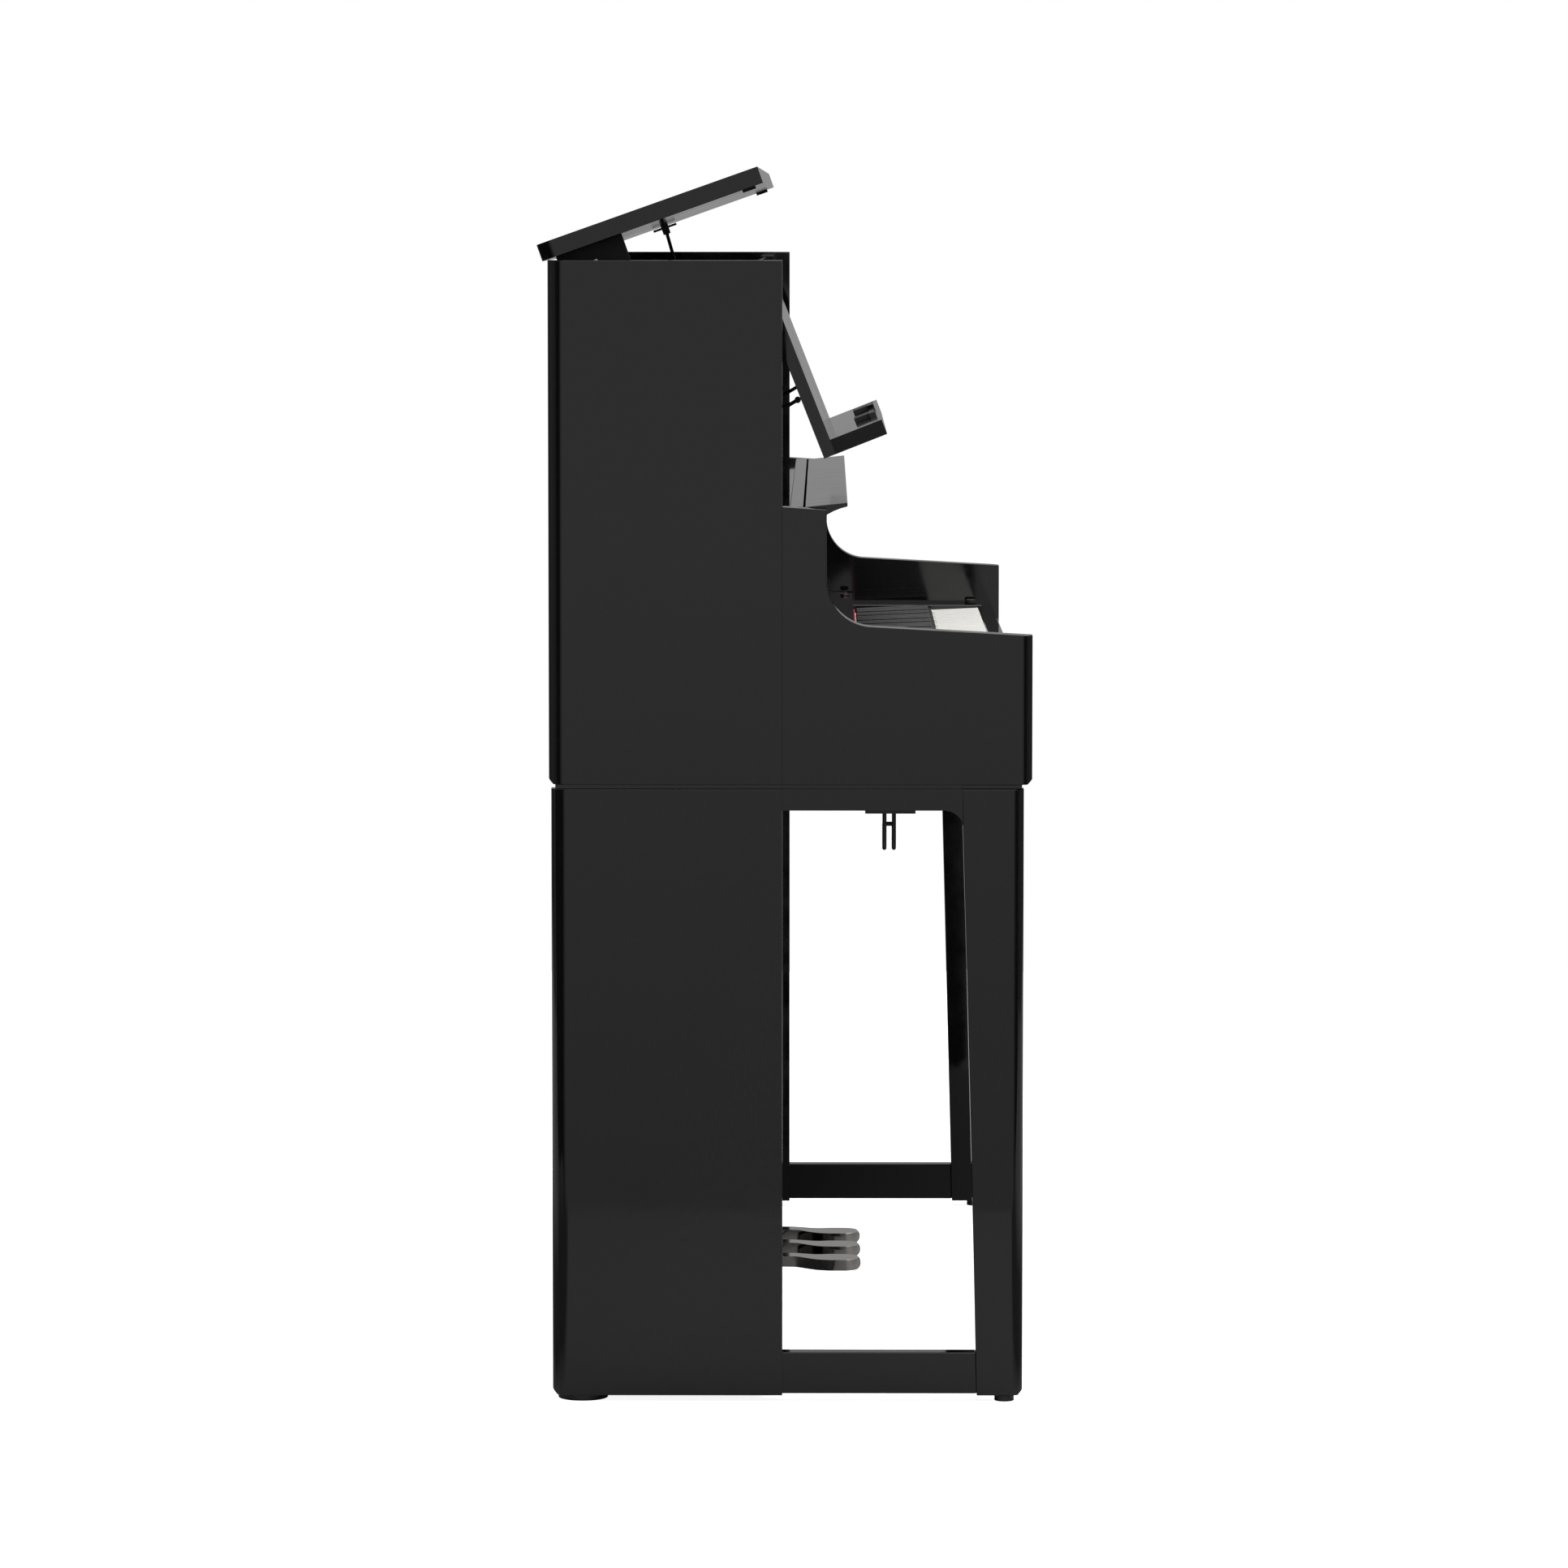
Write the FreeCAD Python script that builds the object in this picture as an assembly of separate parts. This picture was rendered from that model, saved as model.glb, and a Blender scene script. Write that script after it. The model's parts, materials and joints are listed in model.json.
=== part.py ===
import FreeCAD, Part
import math
import os

# Upright digital piano. X runs from bass (-) to treble (+), Y from the player (-) to the back (+),
# Z up. The origin is on the floor, at mid width, on the plane of the case's front.
# All sizes are in millimetres. The lid, music rest and key cover stand open.

V = FreeCAD.Vector

# ---- overall sizes ----
half_width = 690.0          # half the width over the side panels
case_depth = 236.9          # upper case, front plane to back
stand_depth = 234.6         # lower case, front plane to back
arm_reach = 253.4           # how far the cheeks stand out in front of the case
leg_reach = 245.0           # how far the front legs stand out
case_top = 1161.0           # top edge of the upper side panels
stand_top = 627.0           # top of the stand
groove_height = 4.6         # shadow groove between stand and upper case
side_bottom = 6.5           # underside of the sides and legs

# ---- panels ----
side_thickness = 26.0
back_corner_radius = 17.0
cheek_corner_radius = 12.0
small_corner = 5.0
back_panel_thickness = 9.0
back_panel_inset = 12.9
fit_gap = 0.3               # clearance between pieces that move past each other
seat_gap = 0.3              # clearance under a piece that rests on another

# ---- cheek profile ----
cheek_step_height = 913.0
cheek_step_front = 910.0
cheek_step_depth = 44.8
cheek_curve_top = 840.6
cheek_curve_reach = 91.2
cheek_curve_bottom = 791.8
cheek_front_height = 782.8

# ---- stand ----
leg_thickness = 24.0
rail_thickness = 20.0
brace_thickness = 22.0
brace_height = 21.6
leg_depth_top = 62.0
leg_depth_bottom = 46.8
leg_straight_top = 36.0     # straight length of the leg's rear edge, at the top
leg_back_bow = 0.8          # bow of the rear edge below that
bracket_run = 22.0
bracket_drop = 15.3
toe_rail_bottom = 8.6
toe_rail_top = 51.0
foot_radius_back = 25.5
foot_radius_front = 10.0
foot_back_inset = 30.6      # rear foot centre, from the back of the stand
foot_front_inset = 18.5     # front foot centre, from the leg's front
foot_side_inset = 12.0
foot_back_side_inset = 29.5

# ---- stand panels ----
kick_panel_inset = 12.0
kick_panel_thickness = 16.0
pedal_rail_top = 98.0
pedal_rail_thickness = 20.0
pedal_rail_rise = 2.0       # the pedal rail stands this far in front of the panel above it
bottom_board_bottom = 14.0
bottom_board_thickness = 16.0
stand_back_bottom = 14.0

# ---- keybed and keys ----
keybed_thickness = 21.4
keybed_back = 200.0
slip_thickness = 18.0
slip_front = 250.0
slip_below_keys = 12.0
key_front_top = 734.6       # top of a white key at its front, at rest
key_tilt = 2.5              # a key at rest slopes down to the back by this angle, and is level when pressed
key_height = 26.0
white_pitch = 23.5
white_count = 52
white_gap = 1.0             # gap between two white keys
white_front = 227.0
white_head = 53.6           # length of a white key in front of the black keys
black_width = 10.5
black_rise = 8.5
black_tail_drop = 1.5       # hidden rear of a black key, below the white key tops
black_front_slope = 6.0
black_slack = 1.6           # side gap between a black key and the white keys
black_front_gap = 2.0
black_back = 80.0
key_tail_end = 5.0          # keys end this far behind the case front
key_pivot_y = -2.0
front_rail_drop = 1.5       # front rail, below a pressed key
front_rail_near = 215.0
front_rail_far = 180.0
balance_rail_near = 5.0
balance_rail_far = 8.0
frame_base_height = 5.0
block_gap = 2.5             # gap between the last key and its end block
block_height_over_keys = 3.1

# ---- name board and key cover ----
name_board_front = 76.0
name_board_over_keys = 1.6  # name board's underside above the key tops, at its front
name_board_side_gap = 3.0
name_board_top = 750.5
rest_board_front = 21.0
rest_board_back = 7.8
rest_board_top = 912.0
rest_shelf_drop = 6.0       # the shelf under the closed music rest, below the rest board's top
rest_shelf_thickness = 15.0
felt_thickness = 2.5
felt_over_keys = 0.7
felt_height = 4.2
cover_pivot_y = -66.0
cover_pivot_z = 745.0
cover_front = 45.0
cover_back = 22.8
cover_bottom = 752.0
cover_top = 914.3
cover_lip_reach = 66.0
cover_lip_top = 916.0
cover_lip_edge = 4.0
cover_lip_root = 903.6
cover_top_ease = 2.8        # the leaf's rear edge starts its slope this far below its top
cover_cove_shift = 1.5      # middle of the hollow under the lip
cover_cove_drop = 2.6
cover_arm_toe = 2.0         # how far the arm's foot stops short of the leaf's face
cover_arm_root = 4.0
cover_arm_tip = 0.8
cover_arm_high = 0.9        # where the arm meets its boss, as shares of the boss's radius
cover_arm_low = 0.6
cover_arm_offset = 2.0
cover_side_gap = 6.0
cover_arm_thickness = 9.0
cover_boss_radius = 6.4
cover_pin_radius = 3.5
cover_pin_depth = 8.0
running_gap = 0.1
bumper_radius = 6.0
bumper_height = 5.5
bumper_y = -218.5
bumper_side_inset = 24.0

# ---- top lid ----
lid_angle = 19.5
lid_pivot_y = 226.4
lid_pivot_drop = 14.8       # pivot of the lid under the case top
lid_thickness = 17.5
lid_front = 0.3
lid_back = 236.6
lid_rise = 3.1              # closed lid above the side panels
lid_rail_front = 199.5
lid_rail_side_gap = 4.0
end_block_front = 152.8     # dark block at the bass end of the lid's rail
end_block_back = 184.0
end_block_height = 34.1
end_block_thickness = 22.0
hinge_leaf = 1.2
hinge_leaf_depth = 20.0
hinge_leaf_gap = 1.0        # a leaf's plane, off the pin's axis
hinge_end_inset = 20.0
hinge_leaf_reach = 0.6      # gap between a leaf and its knuckles
hinge_web_reach = 1.8
hinge_knuckle_radius = 2.6
hinge_pin_radius = 1.2
hinge_knuckles = 22
pad_length = 14.0
pad_width = 12.0
pad_y = 15.7
top_rail_depth = 37.0
top_rail_height = 43.0

# ---- lid stay ----
stay_x = 440.0
stay_eye_y = 134.7          # eye of the stay with the lid closed
stay_eye_drop = 7.9         # and that far under the lid
stay_rod_radius = 2.0
stay_length = 125.0
stay_eye_radius = 4.2
stay_eye_width = 5.4
stay_pin_radius = 1.5
stay_plate_length = 28.0
stay_plate_width = 20.0
stay_plate_thickness = 2.6
stay_plate_drop = 2.0       # the plate hangs this far under the lid on its ears
stay_ear = 3.0
stay_ear_lap = 3.0
guide_drop = 53.0           # guide plate under the case top
guide_thickness = 3.0
guide_hole_radius = 4.4
guide_width = 24.0
guide_reach = 14.0          # plate in front of the eyelet's centre
guide_flange_height = 28.0

# ---- upper front ----
music_back_gap = 1.0        # between the closed music rest and the board behind it
front_board_thickness = 20.0
front_board_drop = 1.1      # front board's top, under the music rest's pivot
grille_face = 18.0
grille_drop = 3.0
grille_slots = 11
grille_slot_height = 4.0
grille_slot_pitch = 11.0
grille_slot_width = 170.0
speaker_x = 520.0
speaker_z = 1035.0
speaker_radius = 55.0
speaker_depth = 46.0
speaker_rim = 8.0
speaker_rim_thickness = 4.0
speaker_cone_depth = 14.0
speaker_dome_share = 0.3    # share of the driver's radius
speaker_surround = 5.0
speaker_magnet_share = 0.65
speaker_magnet_start = 0.6  # share of the driver's depth

# ---- music rest ----
music_angle = 21.5
music_pivot_y = 24.0
music_pivot_z = 1137.1
music_half_width = 372.0
music_thickness = 13.0
music_bottom = 938.6
music_top = 1157.0
ledge_reach = 58.4
ledge_height = 16.4
music_pin_radius = 3.0
music_pin_length = 12.0
music_side_gap = 3.0
music_stay_x = 300.0
music_stay_back = 4.3       # stay axis behind the panel's rear face, rest closed
music_stay_z = 1004.9
music_stay_radius = 2.0
music_stay_length = 69.0
music_stay_angle = -31.0    # direction of the open stay, below the horizontal
music_knob_radius = 3.4
music_knob_width = 12.0
music_lug_half = 9.0
pocket_depth = 16.0
pocket_width = 18.0
pocket_low = 928.0
pocket_high = 1022.0
holder_width = 65.0
holder_depth = 24.0
holder_thickness = 5.0
holder_centre_gap = 110.0
holder_front = 36.0
holder_lug = 8.0
holder_lug_back = 2.0
holder_foot_gap = 0.2
holder_pin_radius = 1.2
holder_pin_length = 5.0

# ---- pedals ----
pedal_spacing = 97.0
pedal_tip = 83.0
pedal_pivot_y = 140.0
pedal_pivot_z = 53.3
pedal_thickness = 12.0
pedal_drop = 2.8            # how far the pedal's tip lies below its arm
pedal_neck_width = 24.0
pedal_tip_width = 44.0
pedal_pin_radius = 4.0
pedal_ear_thickness = 4.0
pedal_slot_gap = 2.0
pedal_slot_bottom = 32.0
pedal_slot_top = 68.0
pedal_tail = 12.0           # behind the pivot
pedal_bend_start = 4.0      # the arm dips from here to pedal_bend_end, in front of the case
pedal_bend_end = 40.0
pedal_taper_start = 12.0    # the neck widens from here to pedal_taper_end
pedal_taper_end = 48.0
pedal_nose_share = 0.75     # nose's depth, as a share of the tip's half width
bracket_height = 72.0
bracket_half_depth = 25.0
bracket_base = 3.0
bracket_ear_half = 12.0
bracket_pin_end = 2.0

# ---- small fittings ----
hook_wire_radius = 2.15
hook_wire_step = 69.8       # hook's first wire, behind the leg
hook_wire_spread = 9.6
hook_bend_radius = 9.0
hook_drop = 563.6
hook_return = 589.5
hook_plate_thickness = 3.2
hook_plate_step = 48.0
hook_plate_length = 51.0
jack_radius = 3.2
jack_depth = 22.0
jack_spacing = 36.0
jack_box_x = -600.0
jack_box_width = 80.0
jack_box_front = 205.0
jack_box_back = 150.0
jack_box_height = 22.0
button_end_inset = 30.0
button_y = -66.5
button_radius = 5.0
button_rise = 2.5
inlet_x = -420.0
inlet_z = 705.0
inlet_half_width = 15.0
inlet_half_height = 12.0
inlet_depth = 24.0
inlet_flange = 2.0
inlet_flange_half_width = 24.0
inlet_flange_half_height = 14.0
inlet_socket_half_width = 12.5
inlet_socket_half_height = 9.0
inlet_socket_depth = 16.0
inlet_blade_length = 8.0
inlet_blade_half_width = 1.0
inlet_blade_half_height = 2.0
inlet_blade_offsets = ((-7.0, -2.0), (0.0, 3.0), (7.0, -2.0))
electronics_left = -300.0
electronics_right = 120.0
electronics_front = 70.0
electronics_back = 180.0
electronics_height = 62.0
tongue_inset = 6.0          # shadow groove's depth at the sides
tongue_end_inset = 8.0
hook_plate_half_width = 9.0

upper_bottom = stand_top + groove_height
inner_x = half_width - side_thickness
keybed_top = upper_bottom + keybed_thickness
keyboard_half = white_count * white_pitch / 2
key_slope = math.tan(math.radians(key_tilt))
key_level_top = key_front_top - (white_front + key_pivot_y) * key_slope
key_level_bottom = key_level_top - key_height
back_panel_back = case_depth - back_panel_inset
lid_underside = case_top + lid_rise
lid_pivot_z = case_top - lid_pivot_drop
stay_eye_z = lid_underside - stay_eye_drop
guide_level = case_top - guide_drop
front_board_face = grille_face + music_thickness + music_back_gap
front_board_top = music_pivot_z - front_board_drop
grille_top = case_top - grille_drop
leg_back_top = leg_reach - leg_depth_top        # leg's rear edge, in front of the case
leg_back_bottom = leg_reach - leg_depth_bottom
hook_y_front = hook_wire_step - leg_back_top
hook_y_back = hook_y_front + hook_wire_spread
hook_plate_front = leg_back_top - hook_plate_step
hook_plate_back = hook_plate_front - hook_plate_length
folder = "parts"


def make_box(x_low, x_high, y_low, y_high, z_low, z_high):
    corner = V(x_low, y_low, z_low)
    return Part.makeBox(x_high - x_low, y_high - y_low, z_high - z_low, corner)


def make_rod(start, direction, radius, length):
    return Part.makeCylinder(radius, length, start, direction)


def line(start, end):
    return Part.LineSegment(V(*start), V(*end)).toShape()


def arc(start, middle, end):
    return Part.Arc(V(*start), V(*middle), V(*end)).toShape()


def polygon_edges(points):
    closed = points + points[:1]
    return [line(first, second) for first, second in zip(closed, closed[1:])]


def extrude_edges(edges, vector):
    return Part.Face(Part.Wire(edges)).extrude(vector)


def slab_across(points, x_low, x_high):
    # a flat outline in Y and Z, given thickness along X
    outline = [(x_low, y, z) for y, z in points]
    return extrude_edges(polygon_edges(outline), V(x_high - x_low, 0, 0))


def fuse_all(shapes):
    whole = shapes[0]
    for shape in shapes[1:]:
        whole = whole.fuse(shape)
    return whole.removeSplitter()


def mirror_side(shape):
    return shape.mirror(V(0, 0, 0), V(1, 0, 0))


def turn_about_x(shape, y, z, degrees):
    turned = shape.copy()
    turned.rotate(V(0, y, z), V(1, 0, 0), degrees)
    return turned


def round_upright_edges(shape, x, y, radius):
    # fillet of the upright edge that stands at x, y
    edges = []
    for edge in shape.Edges:
        middle = edge.BoundBox.Center
        tall = edge.BoundBox.ZLength > 100.0
        if tall and abs(middle.x - x) < 1.0 and abs(middle.y - y) < 1.0:
            edges.append(edge)
    return shape.makeFillet(radius, edges)


def write(name, shape):
    shape.exportStep(os.path.join(folder, name + ".step"))


def pair(shape):
    return Part.makeCompound([shape, mirror_side(shape)])


# ---- upper case ----
def upper_side():
    points = [
        (0.0, upper_bottom),
        (case_depth - small_corner, upper_bottom),
        (case_depth, upper_bottom + small_corner),
        (case_depth, case_top),
        (0.0, case_top),
    ]
    side = slab_across(points, -half_width, -inner_x)
    return round_upright_edges(side, -half_width, case_depth, back_corner_radius)


def cheek():
    x = -half_width
    bend = 1 - math.sqrt(0.5)
    curve_middle_y = -cheek_step_depth - bend * (cheek_curve_reach - cheek_step_depth)
    curve_middle_z = cheek_curve_bottom + bend * (cheek_curve_top - cheek_curve_bottom)
    start = (x, 0.0, upper_bottom)
    front_low = (x, small_corner - arm_reach, upper_bottom)
    front_corner = (x, -arm_reach, upper_bottom + small_corner)
    front_high = (x, -arm_reach, cheek_front_height)
    curve_end = (x, -cheek_curve_reach, cheek_curve_bottom)
    curve_middle = (x, curve_middle_y, curve_middle_z)
    curve_start = (x, -cheek_step_depth, cheek_curve_top)
    step_front = (x, -cheek_step_depth, cheek_step_front)
    step_back = (x, 0.0, cheek_step_height)
    edges = [
        line(start, front_low),
        line(front_low, front_corner),
        line(front_corner, front_high),
        line(front_high, curve_end),
        arc(curve_end, curve_middle, curve_start),
        line(curve_start, step_front),
        line(step_front, step_back),
        line(step_back, start),
    ]
    board = extrude_edges(edges, V(side_thickness, 0, 0))
    board = round_upright_edges(board, -half_width, -arm_reach, cheek_corner_radius)
    bore_start = V(-inner_x - cover_pin_depth, cover_pivot_y, cover_pivot_z)
    bore = make_rod(bore_start, V(1, 0, 0), cover_pin_radius + running_gap, cover_pin_depth + 1)
    return board.cut(bore)


def keybed():
    return make_box(-inner_x, inner_x, slip_thickness - slip_front, keybed_back, upper_bottom, keybed_top)


def key_slip():
    slip_top = key_front_top - slip_below_keys
    return make_box(-inner_x, inner_x, -slip_front, slip_thickness - slip_front, upper_bottom, slip_top)


def key_block():
    block_top = key_front_top + block_height_over_keys
    start = keyboard_half + block_gap
    return make_box(start, inner_x, slip_thickness - slip_front, -rest_board_back, keybed_top, block_top)


def key_top_at(y):
    # white key tops at rest
    return key_level_top + (key_pivot_y - y) * key_slope


def key_frame():
    base_top = keybed_top + frame_base_height
    half = keyboard_half - white_gap
    base = make_box(-half, half, -front_rail_near, balance_rail_far, keybed_top, base_top)
    front_rail_top = key_level_bottom - front_rail_drop
    front_rail = make_box(-half, half, -front_rail_near, -front_rail_far, keybed_top, front_rail_top)
    balance_top = key_level_bottom - (key_tail_end - key_pivot_y) * key_slope - seat_gap
    balance_rail = make_box(-half, half, -balance_rail_near, balance_rail_far, keybed_top, balance_top)
    return fuse_all([base, front_rail, balance_rail])


def cover_arm_start():
    return inner_x - cover_side_gap - cover_arm_thickness


def name_board_bottom():
    return key_top_at(-name_board_front) + name_board_over_keys


def name_board():
    # over the keys, and stepped up over the key blocks at its ends
    half = cover_arm_start() - name_board_side_gap
    lower = make_box(-keyboard_half, keyboard_half, -name_board_front, -rest_board_back,
                     name_board_bottom(), name_board_top)
    block_top = key_front_top + block_height_over_keys
    upper = make_box(-half, half, -name_board_front, -rest_board_back, block_top + seat_gap, name_board_top)
    button_hole = make_rod(V(button_x(), button_y, name_board_bottom()), V(0, 0, 1),
                           button_radius + fit_gap, name_board_top)
    return fuse_all([lower, upper]).cut(button_hole)


def key_felt():
    front = name_board_front + felt_thickness
    half = keyboard_half
    bottom = key_top_at(-front) + felt_over_keys
    return make_box(-half, half, -front, -name_board_front, bottom, bottom + felt_height)


def rest_shelf_top():
    return rest_board_top - rest_shelf_drop


def rest_board():
    upright = make_box(-inner_x, inner_x, -rest_board_front, -rest_board_back, name_board_top, rest_board_top)
    shelf_bottom = rest_shelf_top() - rest_shelf_thickness
    shelf = make_box(-inner_x, inner_x, -rest_board_back, front_board_face, shelf_bottom, rest_shelf_top())
    return fuse_all([upright, shelf])


def stay_pocket(side):
    low = side * music_stay_x - pocket_width / 2
    high = side * music_stay_x + pocket_width / 2
    back = front_board_face + pocket_depth
    return make_box(low, high, front_board_face - 1, back, pocket_low, pocket_high)


def front_board():
    bottom = name_board_top
    back = front_board_face + front_board_thickness
    board = make_box(-inner_x, inner_x, front_board_face, back, bottom, front_board_top)
    for side in (-1, 1):
        board = board.cut(stay_pocket(side))
        hole_start = V(side * speaker_x, front_board_face - 1, speaker_z)
        board = board.cut(make_rod(hole_start, V(0, 1, 0), speaker_radius, front_board_thickness + 2))
    return board


def speaker_grille():
    start = music_half_width + music_side_gap
    panel = make_box(start, inner_x, grille_face, front_board_face, rest_shelf_top(), grille_top)
    slot_back = front_board_face + 1
    for number in range(grille_slots):
        level = speaker_z + (number - (grille_slots - 1) / 2) * grille_slot_pitch
        low = level - grille_slot_height / 2
        slot = make_box(speaker_x - grille_slot_width / 2, speaker_x + grille_slot_width / 2,
                        grille_face - 1, slot_back, low, low + grille_slot_height)
        panel = panel.cut(slot)
    bore = make_rod(V(start - 1, music_pivot_y, music_pivot_z), V(1, 0, 0),
                    music_pin_radius + running_gap, music_pin_length + 1)
    return panel.cut(bore)


def speaker():
    # basket, cone and magnet turned about the driver's axis
    y = front_board_face + front_board_thickness
    rim = speaker_radius + speaker_rim
    magnet = speaker_radius * speaker_magnet_share
    outline = [
        (0.0, y + speaker_cone_depth),
        (speaker_radius * speaker_dome_share, y + speaker_cone_depth),
        (speaker_radius - speaker_surround, y),
        (rim, y),
        (rim, y + speaker_rim_thickness),
        (magnet, y + speaker_depth * speaker_magnet_start),
        (magnet, y + speaker_depth),
        (0.0, y + speaker_depth),
    ]
    points = [(speaker_x + radius, depth, speaker_z) for radius, depth in outline]
    face = Part.Face(Part.Wire(polygon_edges(points)))
    return face.revolve(V(speaker_x, 0, speaker_z), V(0, 1, 0), 360)


def inlet_opening(gap):
    y_low = back_panel_back - back_panel_thickness - 1
    half_width_open = inlet_half_width + gap
    half_height_open = inlet_half_height + gap
    return make_box(inlet_x - half_width_open, inlet_x + half_width_open, y_low, back_panel_back + 1,
                    inlet_z - half_height_open, inlet_z + half_height_open)


def upper_back_panel():
    top = top_rail_top() - top_rail_height
    panel = make_box(-inner_x, inner_x, back_panel_back - back_panel_thickness, back_panel_back,
                     upper_bottom, top)
    return panel.cut(inlet_opening(fit_gap))


def top_rail_top():
    return lid_pivot_z - hinge_leaf - hinge_leaf_gap


def top_back_rail():
    low = top_rail_top() - top_rail_height
    return make_box(-inner_x, inner_x, back_panel_back - top_rail_depth, back_panel_back, low, top_rail_top())


def power_inlet():
    # appliance inlet: a flange on the back panel, a body through it and three blades in its socket
    y = back_panel_back
    body = make_box(inlet_x - inlet_half_width, inlet_x + inlet_half_width, y - inlet_depth, y,
                    inlet_z - inlet_half_height, inlet_z + inlet_half_height)
    flange = make_box(inlet_x - inlet_flange_half_width, inlet_x + inlet_flange_half_width,
                      y, y + inlet_flange,
                      inlet_z - inlet_flange_half_height, inlet_z + inlet_flange_half_height)
    socket_floor = y - inlet_socket_depth
    socket = make_box(inlet_x - inlet_socket_half_width, inlet_x + inlet_socket_half_width,
                      socket_floor, y + inlet_flange + 1,
                      inlet_z - inlet_socket_half_height, inlet_z + inlet_socket_half_height)
    shell = body.fuse(flange).cut(socket)
    blades = []
    for offset_x, offset_z in inlet_blade_offsets:
        x = inlet_x + offset_x
        z = inlet_z + offset_z
        blades.append(make_box(x - inlet_blade_half_width, x + inlet_blade_half_width,
                               socket_floor, socket_floor + inlet_blade_length,
                               z - inlet_blade_half_height, z + inlet_blade_half_height))
    return fuse_all([shell] + blades)


def electronics_box():
    return make_box(electronics_left, electronics_right, electronics_front, electronics_back,
                    keybed_top, keybed_top + electronics_height)


# ---- stand ----
def stand_side():
    points = [
        (0.0, side_bottom),
        (stand_depth - small_corner, side_bottom),
        (stand_depth, side_bottom + small_corner),
        (stand_depth, stand_top),
        (0.0, stand_top),
    ]
    side = slab_across(points, -half_width, -inner_x)
    side = round_upright_edges(side, -half_width, stand_depth, back_corner_radius)
    tongue = make_box(-half_width + tongue_inset, -inner_x, 0.0, stand_depth - tongue_end_inset,
                      stand_top, upper_bottom)
    return fuse_all([side, tongue])


def leg():
    x = -half_width
    top_back = (x, -leg_back_top, stand_top)
    straight_end = (x, -leg_back_top, stand_top - leg_straight_top)
    bottom_back = (x, -leg_back_bottom, side_bottom)
    middle_z = (straight_end[2] + bottom_back[2]) / 2
    middle_y = -(leg_back_top + leg_back_bottom) / 2 - leg_back_bow
    middle = (x, middle_y, middle_z)
    front_low = (x, -leg_reach + small_corner, side_bottom)
    front_corner = (x, -leg_reach, side_bottom + small_corner)
    front_top = (x, -leg_reach, stand_top)
    edges = [
        line(top_back, straight_end),
        arc(straight_end, middle, bottom_back),
        line(bottom_back, front_low),
        line(front_low, front_corner),
        line(front_corner, front_top),
        line(front_top, top_back),
    ]
    board = extrude_edges(edges, V(leg_thickness, 0, 0))
    board = round_upright_edges(board, -half_width, -leg_reach, cheek_corner_radius)
    tongue = make_box(-half_width + tongue_inset, -half_width + leg_thickness,
                      -leg_reach + tongue_end_inset, -leg_back_top, stand_top, upper_bottom)
    return fuse_all([board, tongue])


def leg_brace():
    x = -half_width
    bottom = stand_top - brace_height
    bend = math.sqrt(0.5)
    inner = -leg_back_top + bracket_run
    middle_y = inner - bracket_run * bend
    middle_z = bottom - bracket_drop * (1 - bend)
    edges = [
        line((x, 0.0, stand_top), (x, 0.0, bottom)),
        line((x, 0.0, bottom), (x, inner, bottom)),
        arc((x, inner, bottom), (x, middle_y, middle_z), (x, -leg_back_top, bottom - bracket_drop)),
        line((x, -leg_back_top, bottom - bracket_drop), (x, -leg_back_top, stand_top)),
        line((x, -leg_back_top, stand_top), (x, 0.0, stand_top)),
    ]
    board = extrude_edges(edges, V(brace_thickness, 0, 0))
    tongue = make_box(-half_width + tongue_inset, -half_width + brace_thickness, -leg_back_top, 0.0,
                      stand_top, upper_bottom)
    return fuse_all([board, tongue])


def toe_rail():
    rail = make_box(-half_width, -half_width + rail_thickness, -leg_back_bottom - 1, 0.0,
                    toe_rail_bottom, toe_rail_top)
    return rail.cut(leg())


def kick_panel():
    back = kick_panel_inset + kick_panel_thickness
    return make_box(-inner_x, inner_x, kick_panel_inset, back, pedal_rail_top, stand_top)


def pedal_positions():
    return [-pedal_spacing, 0.0, pedal_spacing]


def pedal_rail():
    front = kick_panel_inset - pedal_rail_rise
    back = front + pedal_rail_thickness
    rail = make_box(-inner_x, inner_x, front, back, bottom_board_bottom, pedal_rail_top)
    half_slot = pedal_neck_width / 2 + pedal_slot_gap
    for x in pedal_positions():
        slot = make_box(x - half_slot, x + half_slot, front - 1, back + 1, pedal_slot_bottom, pedal_slot_top)
        rail = rail.cut(slot)
    return rail


def bottom_board():
    front = kick_panel_inset - pedal_rail_rise + pedal_rail_thickness
    back = stand_back_face() - back_panel_thickness
    top = bottom_board_bottom + bottom_board_thickness
    return make_box(-inner_x, inner_x, front, back, bottom_board_bottom, top)


def stand_back_face():
    return stand_depth - back_panel_inset


def stand_back_panel():
    back = stand_back_face()
    return make_box(-inner_x, inner_x, back - back_panel_thickness, back, stand_back_bottom, stand_top)


def feet():
    foot_y = stand_depth - foot_back_inset
    toe_y = -leg_reach + foot_front_inset
    solids = []
    for side in (-1, 1):
        back_x = side * (half_width - foot_back_side_inset)
        front_x = side * (half_width - foot_side_inset)
        solids.append(make_rod(V(back_x, foot_y, 0), V(0, 0, 1), foot_radius_back, side_bottom))
        solids.append(make_rod(V(front_x, toe_y, 0), V(0, 0, 1), foot_radius_front, side_bottom))
    return Part.makeCompound(solids)


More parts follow.
